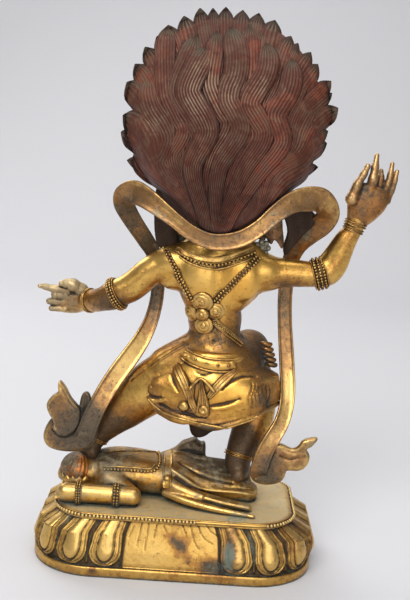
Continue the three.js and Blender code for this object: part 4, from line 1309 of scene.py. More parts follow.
def band_round(rows: Rows, at: float, half: float, proud: float, beads: int = 0, seed: int = 5) -> Shell:
    """A band round a limb, with rolled rims and bead rows between them.

    Args:
        rows: The limb's stations.
        at: The distance along the limb.
        half: Half the band's width.
        proud: How far it stands off the limb.
        beads: How many bead rows it carries.
        seed: What the beads' unevenness is drawn from.

    Returns:
        The band.
    """
    path = curve_through(rows, 12)
    lengths = travelled(path[:, :3])
    row = np.array([np.interp(at, lengths, column) for column in path.T])
    ahead = np.array([np.interp(at + 1, lengths, column) for column in path.T])
    way = unit(ahead[:3] - row[:3])
    side = unit(np.cross(way, FORWARD))
    rise = np.cross(side, way)
    turn = turns(48)

    def circle(shift: float, out: float) -> Array:
        """A ring round the limb, with its outward directions."""
        return (row[:3] + way * shift + np.outer(np.cos(turn), side) * (row[3] + out)
            + np.outer(np.sin(turn), rise) * (row[4] + out))

    outward = np.outer(np.cos(turn), side) + np.outer(np.sin(turn), rise)
    rim = min(0.45, half * 0.5)
    profile = [(-half, -0.8), (-half, proud * 0.7), (-half + rim * 0.5, proud), (-half + rim, proud * 0.7),
        (-half + rim * 1.2, proud * 0.35), (half - rim * 1.2, proud * 0.35), (half - rim, proud * 0.7),
        (half - rim * 0.5, proud), (half, proud * 0.7), (half, -0.8)]
    rings = np.array([circle(shift, out) for shift, out in profile])
    parts = [tube(np.swapaxes(rings, 0, 1), closed=True)]
    span = 2 * (half - rim) / max(beads, 1)
    for k in range(beads):
        shift = -half + rim + span * (k + 0.5)
        ring = circle(shift, proud * 0.5)
        loop = np.vstack([ring, ring[:1]])
        parts.append(BeadString(min(0.62, span * 0.5), min(1.25, span * 1.02), 0.15).along(loop,
            np.vstack([outward, outward[:1]]), seed + k))
    return Shell.joined(parts)


# Prone figure


@dataclass
class ProneFigure:
    """The figure lying face down under the standing one, with its cloth and armbands."""

    low: Triple = (-60.0, -28.0, 27.3)
    high: Triple = (42.0, 24.0, 56.0)
    grain: float = 0.55
    body: Rows = ((-38, 4, 35, 9, 12), (-30, 4, 36.4, 9.4, 14), (-20, 4, 36.2, 9.4, 14),
        (-10, 3, 35.6, 8.8, 13), (0, 3, 35, 8.6, 13), (10, 3, 34.4, 8.2, 12), (22, 2, 32.4, 6.6, 10),
        (32, 0, 30.6, 4.4, 7))
    arm: Rows = ((-50, -18.6, 31.8, 4.2, 3.8), (-35, -18.4, 31.8, 4.2, 3.9), (-20, -17.8, 31.4, 4.1, 4))
    finish: GiltFinish = GiltFinish("gilt_prone", orange=(0.35, 0.20, 0.066), tarnish=0.49, dull=0.31,
        verdigris=0.3, polish=0.29)
    hair_finish: GiltFinish = GiltFinish("gilt_prone_head", gold=(0.62, 0.30, 0.07),
        pale=(0.75, 0.46, 0.16), orange=(0.50, 0.17, 0.035), tarnish=0.55, dull=0.3, verdigris=0.6,
        polish=0.3)

    head_middle: Triple = (-46.4, 0.0, 36.6)
    head_half: Triple = (8.75, 9.55, 7.75)
    knee: Rows = ((-10.5, 41.6), (-6, 43.4), (-3.1, 45.1), (0.2, 48.6), (4.1, 50.2), (6.6, 50.9),
        (7.5, 49.4), (8.8, 48.6), (10.3, 49), (11.2, 47.9), (11.4, 45.5), (11.3, 42), (12.4, 37),
        (-10, 36))

    def clay(self, sight: Sight) -> Clay:
        """Models the lying body."""
        clay = Clay(self.low, self.high, self.grain)
        clay.limb(self.body, 0.1)
        clay.blob(self.head_middle, (8.6, 9.4, 7.6), 2.5)
        clay.limb(((-20, -16, 31.2, 3.6, 3.6), (-26, -11, 33, 4.4, 4.2), (-32, -8, 35, 5, 4.6)), 2.0)
        clay.limb(((-4, -9, 34.6, 3.4, 3.6), (8, -12.6, 31.6, 2.8, 3), (20, -14.6, 30, 2.2, 2.4),
            (32, -15.6, 29, 1.4, 1.8)), 1.8)
        clay.limb(((-6, -10.5, 31.4, 1.6, 2.0), (2, -14.6, 30.2, 1.9, 2.0), (10, -17.6, 29.2, 1.7, 1.8),
            (20, -20.4, 28.4, 1.5, 1.6), (34, -23.4, 27.8, 0.8, 1.0)), 1.2)
        clay.slab(np.array(self.knee), 12.5, 4.2, 2.6, 1.0)
        clay.limb(((-2, 6, 38, 6.5, 5), (12, 6.5, 37.6, 6, 5), (28, 6, 36.6, 6, 5)), 2.5)
        clay.limb(self.arm, 0.8, dome=0.9)
        for turn in (-0.5, 0.0, 0.5):
            clay.limb(((-50, -17.6 + 4 * turn, 31 + 1.5 * abs(turn), 1.3, 1.3),
                (-54.4, -17.4 + 6.4 * turn, 29.4, 1.0, 1.0)), 0.8)
        for marks, half, cut in (
                (((172, 470), (185, 479), (200, 488), (215, 491), (230, 492), (258, 495)), 0.9, False),
                (((205, 498), (222, 503), (240, 507), (262, 511)), 0.8, False),
                (((175, 453), (185, 454), (195, 457), (205, 459)), 1.2, False),
                (((180, 463), (195, 472), (212, 479), (232, 483)), 0.7, True),
                (((176, 478), (190, 487), (206, 494)), 0.6, True),
                (((214, 486), (232, 488), (252, 490)), 0.5, True),
                (((208, 470), (225, 474), (240, 477)), 0.6, False)):
            sight.draw(clay, marks, half, 0.9, cut, 1.5)
        return clay

    def head(self) -> Shell:
        """The head turned aside, its hair combed back from a zigzag crown band."""
        turn = turns(200)
        rise = np.linspace(0.04, math.pi - 0.04, 70)[:, None]
        comb = np.cos(turn * 26 + 5 * rise)
        size = 1 + 0.16 * comb * np.sin(rise) * 0.06
        (x, y, z), (long, wide, tall) = self.head_middle, self.head_half
        stack = np.stack([x + long * size * np.sin(rise) * np.cos(turn),
            y + wide * size * np.sin(rise) * np.sin(turn), z + tall * size * np.cos(rise)], axis=-1)
        stack[..., 2] = np.maximum(stack[..., 2], self.low[2] + 0.1)
        return tube(stack, {"hollow": -0.22 * comb})

    def crown(self) -> Shell:
        """The band round the head with its small zigzag points."""
        turn = turns(144)
        zigzag = np.abs(np.mod(turn * 18 / (2 * math.pi), 1) - 0.5) * 2
        outline = ((-0.7, 0.0), (-0.5, 0.85), (0.2, 1.0), (1.0, 0.75), (1.6, 0.2), (1.3, -0.6),
            (-0.2, -0.6))
        rings = []
        for up, out in outline:
            lift = up * (1 + 0.9 * zigzag * (up > 0))
            rings.append(np.stack([-46.6 + (8.55 + out) * np.cos(turn), (9.35 + out) * np.sin(turn),
                33.4 + lift], axis=1))
        return tube(np.swapaxes(np.array(rings), 0, 1), closed=True)

    def build(self, dresser: Dresser, sight: Sight) -> None:
        """Builds and dresses the prone figure."""
        node = "trampled_figure"
        clay = self.clay(sight)
        # Shade spots paint shade and painted highlight on the lying figure; the warm spots tint it orange.
        dresser.piece(clay.shell(), "prone_body", self.finish, node, shade=((130, 466, 40, 10, 0.25),
            (222, 462, 38, 19, 0.95), (270, 480, 16, 20, 0.8), (196, 446, 24, 10, 0.5),
            (125, 455, 30, 8, 0.25), (106, 462, 14, 14, 0.45), (200, 448, 14, 10, 0.5),
            (160, 490, 20, 10, 0.3), (190, 470, 14, 8, -0.3), (230, 492, 30, 4, -0.4),
            (110, 492, 30, 4, -0.3), (215, 500, 30, 6, 0.1)), warm=((152, 478, 10, 7, 0.8),
            (185, 490, 14, 6, 0.5)))
        # Shade spots paint shade round the head and a painted highlight on its cheek.
        dresser.piece(self.head(), "prone_head", self.hair_finish, node, shade=((68, 455, 14, 10, 0.6),
            (74, 470, 26, 20, 0.35), (88, 462, 10, 7, -0.35), (98, 468, 6, 14, 0.4)))
        trim = Trim(clay, sight)
        trim.parts.append(self.crown())
        trim.parts.append(band_round(self.arm, 6, 1.5, 0.8, 2, 21))
        trim.parts.append(band_round(self.arm, 22.6, 1.8, 0.8, 2, 23))
        trim.beads(((105, 470), (120, 470), (135, 471), (150, 472), (158, 468), (160, 458), (158, 453)),
            0.75, 1.5, 31)
        trim.beads(((105, 452), (122, 451), (140, 451), (155, 452)), 0.5, 1.05, 32)
        trim.strip(((104, 467), (120, 467), (136, 468), (150, 469), (155, 465)), 0.45, 0.4)
        trim.strip(((168, 451), (168, 462), (167, 474), (167, 487)), 2.0, 0.55, Section.RIMMED)
        trim.boss((167, 478), 1.7, 0.9, 0.4)
        laid = trim.shell()
        laid.points[:, 2] = np.maximum(laid.points[:, 2], self.low[2])
        dresser.piece(laid, "prone_trim", self.finish, node)


# Standing figure


TRUNK = ((15, 1, 76, 19, 12), (14.5, 0, 86, 20, 13), (13.1, 0, 92, 16.2, 12),
    (12.2, 0.5, 98.7, 12.4, 10.5), (11.4, 1, 105.6, 11, 9.5), (10.7, 1, 112, 11.5, 9.6),
    (10.4, 0.5, 118, 12.6, 10.2), (10.6, 0, 124, 16.6, 11), (12.4, 0, 133, 21.8, 11),
    (12.8, 0, 139.5, 20, 10), (12.6, 1.5, 144, 12, 8.5), (12.3, 3, 150, 8, 8))
LEFT_ARM = ((2, 0, 137, 7, 7.5), (-9, 0, 135.2, 7.4, 7.5), (-15, 0, 132.6, 6.9, 7),
    (-19.5, 0, 129.6, 6.6, 6.6), (-23.2, 0, 125.9, 6.6, 6.4), (-27, 0.2, 122.6, 6.6, 6.3),
    (-31, 0.6, 120.3, 6.4, 6.2), (-35.2, 1.6, 117.9, 6.4, 6), (-39.3, 4.5, 115.8, 5.5, 5.6),
    (-43, 8.5, 114.1, 5.3, 5.2), (-46.6, 12, 113.2, 5.1, 4.7), (-49.6, 14.6, 112.8, 5.3, 4.4))
RIGHT_ARM = ((22, 0, 135.5, 8, 7.8), (30, 0, 133.6, 7.4, 7.4), (37, 0, 133.5, 6.9, 6.8),
    (43.5, 0, 133.7, 6.3, 6.2), (49.3, 0, 133.7, 5.9, 5.8), (55, 0, 134, 5.8, 5.7),
    (59.4, 0, 135.6, 6.8, 6), (62.2, 0, 139.3, 6.6, 5.8), (64.1, -0.6, 143.8, 5.9, 5.2),
    (66.5, -1.4, 149.6, 5, 4.6), (69.2, -2, 154.6, 4.1, 3.8), (70.9, -2.4, 160, 4.8, 3.6))
LEFT_LEG = ((8, 1, 85, 16, 12), (-1, 2, 83.4, 15.6, 12), (-8, 2.5, 80.2, 13.9, 12),
    (-14.5, 3, 76.8, 12.5, 11.5), (-20, 3, 72.8, 11.5, 10.5), (-24.4, 3, 69.2, 11, 9.5),
    (-28.6, 3, 65.8, 10.6, 8.5), (-32.4, 3, 61.6, 9, 7.6), (-35.4, 3, 57.6, 7.4, 6.8),
    (-38.4, 3, 53, 5.6, 5.8), (-41, 3, 48.4, 4.6, 5), (-42.4, 3, 45, 4.6, 4.8))
RIGHT_LEG = ((19, 0, 85, 12.4, 12), (24, 6, 90.4, 11, 11), (27, 12, 93.8, 9.9, 9.4),
    (29.4, 18, 93.8, 8.8, 9), (30.8, 21, 87.4, 8.4, 9), (31.4, 18, 78, 9, 8.6), (32.5, 13.5, 68, 10.3, 8),
    (31.6, 9, 58, 8.9, 7.2), (28.6, 6.6, 50.6, 7.3, 6.2), (26.7, 4.6, 45, 6.2, 5.4),
    (26.4, 4, 39, 5.8, 5.4))
LEFT_FOOT = ((-41, -1, 45.4, 4, 3), (-42.6, 3, 44.8, 4.6, 3.4), (-45.5, 9, 44, 4.6, 2.8),
    (-48.5, 15, 43.2, 4.4, 2))
RIGHT_FOOT = ((26.8, -1, 37.6, 4.4, 3.2), (27, 4, 37.4, 5, 3.6), (28.4, 12, 36, 5, 3),
    (30, 20, 34.6, 4.6, 2.2))
LEFT_HAND = (
    ((-49.4, 14.4, 113.2, 5.3, 4.2), (-53, 15.6, 112.9, 6.6, 4.4), (-57.2, 16, 112.4, 6.5, 4.2),
        (-60.5, 16, 112.2, 6, 3.8)),
    ((-57, 13.6, 117.3, 2.5, 2.4), (-62.9, 12.8, 117.4, 1.9, 1.9), (-67.2, 12.2, 118.3, 1.5, 1.5),
        (-69.6, 12, 118.5, 1, 1)),
    ((-50.5, 13.5, 117.6, 3, 3), (-54.4, 12.2, 119.9, 2.9, 2.8), (-57.6, 11.4, 120.6, 2, 2.1),
        (-59.6, 11, 120.4, 1.2, 1.3)),
    ((-58.5, 14, 114.6, 2.2, 2.6), (-62.4, 13, 114.5, 1.9, 2.2)),
    ((-59, 14, 111.2, 2, 2.4), (-65, 12.8, 111.5, 1.5, 1.6)),
    ((-58, 14, 108.4, 1.8, 2.2), (-64, 13, 108.2, 1.3, 1.5)))
RIGHT_HAND = (
    ((70.8, -2.4, 159.6, 4.9, 3.5), (72.6, -2.8, 163.6, 7.2, 3.7), (74.4, -3, 168.4, 8.9, 3.6),
        (75.4, -3, 172.4, 8.3, 3)),
    ((67.4, -4.6, 168.6, 2.8, 2.8), (69.2, -5, 174.8, 2, 2.1), (71.6, -4.6, 179.6, 1.6, 1.7),
        (73, -4.2, 183, 1.2, 1.3)),
    ((74.6, -3.8, 170.6, 2.6, 2.2), (75.8, -4, 177.7, 2.1, 2), (76.4, -3, 182.9, 1.7, 1.7),
        (76.9, -2, 187.8, 1, 1.1)),
    ((78.2, -1.8, 171.2, 2, 2.2), (79.6, -0.8, 177.1, 1.7, 1.8), (79.8, 1, 181.2, 1, 1.1)),
    ((81.4, -2, 171, 1.9, 1.9), (83.4, -1.2, 178, 1.6, 1.7), (84.2, 0, 184.6, 0.9, 1)),
    ((83, -2, 168.6, 1.7, 1.7), (85.4, -1, 175.5, 1.4, 1.5), (86.6, 0, 181.4, 0.9, 1)))


@dataclass
class StandingFigure:
    """The striding figure: body, hands, head, skirt and jewellery."""

    axis: float = 12.0
    skirt_rows: Rows = ((63.2, 12.8, 1, 28.9, 17.2), (65.6, 12.9, 1, 29.6, 17.6),
        (73.4, 13.3, 0.8, 29.4, 17.4), (82, 14.6, 0.4, 27.2, 16.4), (89, 13.4, 0, 20, 14.4),
        (92.9, 13, 0, 16.2, 12.9), (93.3, 13, 0, 16.5, 13.5), (97.0, 12.6, 0, 14.9, 12.5),
        (97.8, 12.6, 0, 14, 11.6))
    hem_lift: float = 8.6
    knob_rows: Rows = ((-2.2, -1.6, 0.5, 0.8, 0.8), (-0.8, -2.4, 0.3, 1.1, 1.1),
        (0.9, -2.0, 0.0, 1.25, 1.2), (1.8, -0.4, -0.3, 1.15, 1.1), (1.4, 1.6, -0.5, 0.8, 0.8))
    finish: GiltFinish = GiltFinish("gilt_body", patina_and_shade=(0.098, 0.062, 0.034), gold=(0.64, 0.37, 0.085),
        pale=(0.75, 0.49, 0.15), tarnish=0.43, dull=0.12, verdigris=0.0, polish=0.26)
    skirt_finish: GiltFinish = GiltFinish("gilt_skirt", gold=(0.68, 0.40, 0.09), pale=(0.79, 0.50, 0.15),
        tarnish=0.44, dull=0.12, verdigris=0.05, polish=0.27)
    trim_finish: GiltFinish = GiltFinish("gilt_trim", gold=(0.63, 0.39, 0.12), tarnish=0.45, dull=0.12,
        verdigris=0.0, polish=0.28)
    tie_finish: GiltFinish = GiltFinish("dark_ties", gold=(0.30, 0.17, 0.06), pale=(0.30, 0.2, 0.1),
        orange=(0.26, 0.10, 0.035), patina_and_shade=(0.042, 0.026, 0.018), tarnish=0.4, dull=0.0, verdigris=0.0,
        polish=0.42)
    disc_finish: GiltFinish = GiltFinish("gilt_discs", gold=(0.40, 0.37, 0.27), pale=(0.6, 0.58, 0.5),
        olive=(0.30, 0.29, 0.22), tarnish=0.42, dull=0.5, verdigris=0.5, polish=0.4)
    palm_finish: GiltFinish = GiltFinish("gilt_right_hand", gold=(0.52, 0.29, 0.10),
        pale=(0.62, 0.44, 0.22), orange=(0.36, 0.16, 0.05), tarnish=0.5, dull=0.14, verdigris=0.0,
        polish=0.34)
    hand_finish: GiltFinish = GiltFinish("gilt_hands", gold=(0.66, 0.42, 0.16), pale=(0.80, 0.62, 0.36),
        tarnish=0.5, dull=0.4, verdigris=0.1, polish=0.3)

    def body(self) -> Clay:
        """Models the trunk and limbs."""
        clay = Clay((-54, -23, 31), (82, 33, 166), 0.63)
        clay.limb(TRUNK, 0.1)
        clay.blob((12, 5, 110), (11.6, 9.6, 12), 3)
        clay.blob((5.6, 8.4, 128.6), (8.2, 4.6, 6.4), 3)
        clay.blob((19.6, 8.4, 128.6), (8.2, 4.6, 6.4), 3)
        clay.limb(LEFT_ARM, 4)
        clay.limb(RIGHT_ARM, 4)
        for x, z, tilt in ((1.6, 129.6, 14), (23.4, 130.4, -14)):
            clay.blob((x, -8.0, z), (5.2, 2.7, 8.0), 4.5, turn=(0, tilt, 0))
        clay.blob((-8.6, -1.4, 135.6), (6.4, 7.0, 6.2), 3)
        clay.blob((32, -1.4, 134.2), (6.6, 7.0, 6.4), 3)
        clay.blob((-7.6, -0.6, 127.4), (6.2, 6.2, 4.6), 2.5)
        clay.blob((33, -0.6, 129.6), (6, 6.2, 4.2), 2.5)
        clay.limb(((12.6, -12.4, 142, 1.0, 1.6), (12.6, -12.9, 133, 1.3, 1.7), (12, -12.4, 122, 1.3, 1.6),
            (11.2, -10.6, 112, 1.2, 1.6), (11.6, -10.6, 103, 1.0, 1.4)), 4.5, cut=True)
        clay.blob((14, 14.8, 101.5), (1.4, 1.6, 1.4), 1.4, cut=True)
        clay.limb(((12.5, 1.5, 141, 9.5, 8.5), (12.2, 3, 148, 8.2, 7.6), (12, 5, 154, 8.2, 7.8)), 2.5)
        clay.limb(LEFT_LEG, 3)
        clay.limb(RIGHT_LEG, 3)
        clay.limb(((6, 1, 100.4, 6, 9), (4, 1, 99, 6, 9), (-10, 2, 89.4, 6, 9)), 2.0)
        clay.blob((30, 26, 91), (6.4, 5, 6.4), 3)
        clay.blob((-29, 8, 67), (7, 6, 7.6), 3)
        for foot in (LEFT_FOOT, RIGHT_FOOT):
            clay.limb(foot, 2.5)
            self.toes(clay, foot)
        return clay

    @staticmethod
    def toes(clay: Clay, foot: Rows) -> None:
        """Adds five toes to the end of a foot."""
        end = np.array(foot[-1][:3], float)
        way = unit(end - np.array(foot[-2][:3], float))
        side = unit(np.cross(way, UP))
        for k in range(5):
            place = (k - 2) * 1.75
            start = end + side * place + way * (0.2 - 0.25 * abs(k - 1))
            tip = start + way * 3.0
            size = 1.15 if k else 1.5
            clay.limb(((*start, size, size), (*tip, size * 0.8, size * 0.75)), 0.5)

    def hand(self, parts: Sequence[Rows], low: Sequence[float], high: Sequence[float]) -> Clay:
        """Models one hand: a palm, then its fingers.

        Args:
            parts: The palm's stations, then each finger's.
            low: The lowest corner of the clay.
            high: The highest corner.

        Returns:
            The clay.
        """
        clay = Clay(low, high, 0.33)
        clay.limb(parts[0], 0.1)
        for finger in parts[1:]:
            path = curve_through(finger, 5)
            knuckle = 1 + 0.07 * np.cos(np.linspace(0, 3 * 2 * math.pi, len(path)))
            path[:, 3:] *= knuckle[:, None]
            clay.limb(path, 0.7, per_span=1, dome=1.0)
        return clay

    def skirt(self) -> Clay:
        """Models the draped skirt, hollow under its hem."""
        clay = Clay((-22, -22, 55), (46, 24, 102), 0.55)
        middle = 82.0

        def ripple(angle: Array, height: Array) -> Array:
            """The folds that widen towards the hem."""
            fall = ramp(middle + 8 - height, 0, 22)
            folds = ((0.55 * np.cos(angle * 8) + 0.3 * np.cos(angle * 13 + 1.2))
                * (0.25 + 0.75 * ramp(np.sin(angle), -0.6, 0.1)))
            hem = 0.55 * np.exp(-((height - 64.9) / 0.9) ** 2) + 0.35 * np.exp(-((height - 67.2) / 0.6) ** 2)
            return fall * folds + hem - 0.4 * np.exp(-((height - 66.2) / 0.4) ** 2)

        clay.bell(self.skirt_rows, ripple, self.hem_lift, 0.1)
        inner = [(z, x, y, wide - 2.4, deep - 2.4) for z, x, y, wide, deep in self.skirt_rows[:3]]
        inner[0] = (58, *inner[0][1:])
        inner[-1] = (72, *inner[-1][1:3], inner[-1][3] - 3, inner[-1][4] - 3)
        clay.bell(inner, lambda angle, height: 0 * angle, self.hem_lift, 0.6, cut=True)
        clay.limb(((9.4, 6, 77, 5.6, 4.4), (10, 8, 67, 5.4, 4.2), (10.6, 9.4, 61, 4.2, 3)), 1.2)
        for shift in (-2.6, 0.2, 2.8):
            clay.limb(((9.6 + shift, 1.2, 76, 0.7, 0.7), (10 + shift, 3.6, 67, 0.7, 0.7),
                (10.6 + shift, 6.2, 60.4, 0.6, 0.6)), 0.8, cut=True)
        return clay

    @staticmethod
    def stripes(clay: Clay, sight: Sight) -> None:
        """Cuts the wavy strokes of the hide on both hips."""
        rng = np.random.default_rng(8)
        for left, top, columns, tall, lean in ((127, 378, 8, 17, 0.25), (252, 384, 7, 27, -0.12)):
            for k in range(columns):
                x = left + 3.1 * k
                low = top - 0.9 * k * (lean > 0) + rng.uniform(-2, 2)
                reach = tall * rng.uniform(0.7, 1.0)
                marks = [(x + lean * reach * t + 1.1 * math.sin(7 * t + 0.8 * k), low + reach * t)
                    for t in (0, 0.2, 0.4, 0.6, 0.8, 1.0)]
                points, _ = sight.onto(clay, marks, 0.5)
                if len(points) >= 4 and np.abs(np.diff(points[:, 1])).max() <= 2.5:
                    rows = np.hstack([points, np.tile((0.45, 0.5), (len(points), 1))])
                    clay.limb(rows, 0.3, per_span=1, cut=True)

    @staticmethod
    def drape(clay: Clay, sight: Sight) -> None:
        """Adds the rounded hips, the folds, the creases and the leaf-shaped end behind."""
        for mark, half, sink, blend in (((239, 400), (12.5, 6, 10), 4.6, 2.5),
                                        ((161, 392), (10, 5.5, 9), 4.4, 2.5),
                                        ((214, 384), (6, 3, 4), 2.6, 2.0)):
            point, normal = sight.onto(clay, [mark])
            clay.blob(point[0] - normal[0] * sink, half, blend)
        for marks, sizes, blend, cut in (
                (((184, 353.5), (194, 359.5), (205, 364), (218, 366), (233, 366)),
                 (2.0, 2.6, 2.7, 2.6, 2.0), 0.8, False),
                (((151, 400), (159, 408), (169, 413.5), (183, 418.5), (197, 422)),
                 (1.0, 2.8, 3.4, 2.8, 1.0), 1.0, False),
                (((188, 357), (178, 357), (169, 360), (162, 367)), (0.7, 1.3, 1.4, 0.8), 0.7, False),
                (((166, 364), (164, 368), (169, 371), (173, 368)), (0.6, 0.9, 0.9, 0.5), 0.6, True),
                (((211, 406), (222, 404.5), (231, 402), (240, 399)), (0.5, 0.9, 0.8, 0.4), 0.7, True),
                (((213, 409), (224, 408), (236, 404.5)), (0.6, 0.9, 0.5), 0.8, False),
                (((143, 391), (150, 399), (157, 401), (166, 400)), (0.9, 1.0, 0.9, 0.5), 0.7, False),
                (((147, 394), (154, 397), (162, 397)), (0.5, 0.7, 0.4), 0.6, True),
                (((171, 370), (173, 380), (178, 391)), (0.4, 0.7, 0.4), 0.8, True),
                (((183, 372), (187, 380), (192, 386)), (0.4, 0.6, 0.4), 0.8, True),
                (((196, 372), (203, 375), (211, 373)), (0.3, 0.5, 0.3), 0.5, True),
                (((222, 390), (231, 381), (243, 376), (256, 376)), (0.5, 0.8, 0.8, 0.4), 0.8, True),
                (((232, 362), (243, 358), (254, 353)), (0.6, 0.8, 0.6), 0.7, False),
                (((238, 366), (246, 366), (254, 363)), (0.3, 0.5, 0.3), 0.5, True),
                (((240, 371), (248, 371), (257, 368)), (0.3, 0.5, 0.3), 0.5, True),
                (((160, 405), (175, 411), (192, 415), (206, 418)), (0.4, 0.6, 0.6, 0.4), 0.7, True)):
            sight.draw(clay, marks, sizes, blend, cut, deep=(0.55, 0.25))

    def head(self) -> Clay:
        """Models the head with a calm, even face on plain proportions."""
        x, y, z = self.axis, 8.0, 160.0
        clay = Clay((-9, -6, 142), (33, 27, 178), 0.4)

        def beside(way: float, *rows: Sequence[float]) -> list[tuple[float, ...]]:
            """Rows given from the face's middle line, on one side of it."""
            return [(x + way * row[0], *row[1:]) for row in rows]

        clay.blob((x, y, z), (10.8, 11.6, 14.4), 0.1)
        clay.blob((x, 12.6, 152.4), (7.6, 6.6, 6.6), 3)
        clay.blob((x, 16.6, 148.6), (3.0, 2.6, 2.4), 2.4)
        for side in (-1, 1):
            cheek, socket, eye, nostril, inner_ear = beside(side, (4.9, 15.4, 154.6), (4.3, 20.2, 160.3),
                (4.2, 17.3, 160.0), (1.5, 20.0, 156.4), (12.2, 7.0, 160.6))
            clay.blob(cheek, (3.4, 3.0, 3.2), 2.6)
            clay.blob(socket, (2.9, 1.9, 1.7), 1.8, cut=True)
            clay.blob(eye, (2.3, 1.7, 1.25), 0.5)
            clay.limb(beside(side, (1.9, 18.7, 160.2, 0.4, 0.4), (4.2, 19.0, 161.2, 0.5, 0.5),
                (6.8, 17.2, 160.1, 0.4, 0.4)), 0.4)
            clay.limb(beside(side, (2.2, 18.8, 159.2, 0.3, 0.3), (4.2, 18.8, 158.8, 0.4, 0.4),
                (6.4, 17.5, 159.4, 0.3, 0.3)), 0.4)
            clay.limb(beside(side, (1.6, 19.4, 163.0, 0.5, 0.5), (4.2, 19.0, 164.3, 0.6, 0.6),
                (7.6, 16.4, 163.2, 0.4, 0.4)), 0.9)
            clay.blob(nostril, (1.0, 1.1, 0.9), 0.6)
            clay.limb(beside(side, (10.3, 6.5, 163.4, 1.0, 1.8), (10.9, 6.6, 160, 1.1, 2.6),
                (11.0, 6.4, 156, 0.9, 1.7), (11.6, 5.6, 152.4, 0.9, 1.4)), 0.6)
            clay.blob(inner_ear, (0.9, 1.5, 2.0), 0.5, cut=True)
        for blend, rows in (
                (0.9, ((0, 18.9, 163, 0.9, 0.9), (0, 20.2, 159.4, 1.0, 1.1), (0, 21.2, 156.8, 1.4, 1.3))),
                (0.4, ((-3.3, 17.8, 152.9, 0.3, 0.4), (-1.2, 19.4, 153.5, 0.6, 0.6),
                       (0, 19.6, 153.2, 0.6, 0.6), (1.2, 19.4, 153.5, 0.6, 0.6),
                       (3.3, 17.8, 152.9, 0.3, 0.4))),
                (0.4, ((-2.8, 18.0, 152.4, 0.3, 0.4), (0, 19.5, 151.7, 0.8, 0.8),
                       (2.8, 18.0, 152.4, 0.3, 0.4)))):
            clay.limb(beside(1, *rows), blend)
        return clay

    def diadem(self) -> Shell:
        """The plain diadem of five leaves, its band and the drops over the ears."""
        x, y, z = self.axis, 8.0, 160.0
        parts = []
        turn = turns(72)
        for height, radius in ((165.2, 0.75), (167.4, 0.6)):
            grow = 0.3 + 0.2 * (165.2 - height)
            out = np.stack([np.cos(turn), np.sin(turn), 0 * turn], axis=1)
            centre = (x, y, height) + out * (10.2 + grow, 10.9 + grow, 0)
            stations = np.hstack([centre, np.full((len(turn), 2), radius)])
            parts.append(swept(stations, Section.ROUND, out, closed=True))
        for k in range(-2, 3):
            angle = math.radians(k * 32)
            out = np.array([math.sin(angle), math.cos(angle), 0])
            foot = np.array([x, y, z + 5]) + out * 9.6
            tall = 13 if k == 0 else 11.4
            share = np.linspace(0, 1, 18)
            centre = foot + np.outer(share * tall, UP) + np.outer(share * 1.6, out)
            wide = 3.5 * np.sin(math.pi * (0.22 + 0.78 * share)) ** 0.8 + 0.15
            rows = np.hstack([centre, wide[:, None], (0.9 - 0.5 * share)[:, None]])
            parts.append(swept(rows, Section.RIMMED, out, dome=0.5))
            parts.append(Trim.dome(foot + (0, 0, tall * 0.42) + out * 1.3, out, 1.35, 0.8))
        for side in (-1, 1):
            disc = np.array([x + side * 18.6, -1.6, 148.4])
            drop = curve_through(((x + side * 10.8, 6.4, 154, 1.2, 1.6),
                (x + side * 13.4, 2.6, 151, 1.3, 1.3), (*disc, 1.3, 1.3)), 6)
            parts.append(swept(drop, Section.ROUND, UP, dome=0.5))
        return Shell.joined(parts)

    def ear_discs(self) -> Shell:
        """The two round ear ornaments."""
        parts = []
        for side, y in ((-1, 5.4), (1, -1.6)):
            disc = np.array([self.axis + side * 18.2, y, 144.4])
            for way in (-1.0, 1.0):
                facing = np.array([0.0, way, 0.0])
                parts.append(Trim.dome(disc, facing, 3.0, 1.0))
                parts.append(Trim.dome(disc + facing * 0.7, facing, 1.2, 1.0, 0.3))
                for turn in turns(7):
                    leaf = (2.6 * math.cos(turn), 0.2 * way, 2.6 * math.sin(turn))
                    parts.append(Trim.dome(disc + leaf, facing, 1.25, 1.2))
        return Shell.joined(parts)

    def ribbon(self, marks: Marks, sight: Sight, depth: float, thick: float, shade: float) -> Shell:
        """A dark ribbon end or cloth end with the drawn outline.

        Args:
            marks: Its outline in the picture.
            sight: The camera.
            depth: The Y of its middle.
            thick: Half its thickness.
            shade: How dark it is.

        Returns:
            The ribbon end.
        """
        outline = sight.outline(marks, depth)
        low, high = outline.min(axis=0) - 3, outline.max(axis=0) + 3
        clay = Clay((low[0], depth - 5, low[1]), (high[0], depth + 5, high[1]), 0.45)

        def bow(x: Array, z: Array) -> Array:
            """The ribbon's gently folded middle."""
            return depth + 0.7 * np.sin((x - low[0]) * 0.55 + z * 0.12)

        clay.slab(outline, bow, thick, thick * 0.8, 0.1)
        return clay.shell().tinted(shade)

    def ties(self, sight: Sight) -> Shell:
        """The ribbon ends of the diadem behind the scarf's loops, and the cloth end below the hem."""
        right = ((276, 205), (284, 200), (296, 203), (308, 208), (316, 216), (312, 226), (303, 236),
            (294, 246), (285, 256), (283, 246), (287, 232), (284, 218))
        left = ((157, 186), (166, 188), (176, 203), (181, 222), (178, 237), (180, 249), (160, 248),
            (155, 236), (154, 219), (154, 205), (155, 194))
        flag = ((258, 236), (266, 229), (276, 222), (282, 219), (283, 230), (284, 241), (282, 249),
            (277, 242), (274, 240), (272, 244), (269, 243), (265, 237))
        cloth = ((188, 417), (189.5, 428), (191, 433), (194, 436), (199, 437), (205, 436), (210, 433),
            (215, 429), (217, 418))
        return Shell.joined([self.ribbon(left, sight, 2.4, 0.9, 0.9),
            self.ribbon(right, sight, 2.4, 0.9, 0.9), self.ribbon(flag, sight, -1.0, 0.8, 0.4),
            self.ribbon(cloth, sight, 8.0, 1.2, 1.0)])

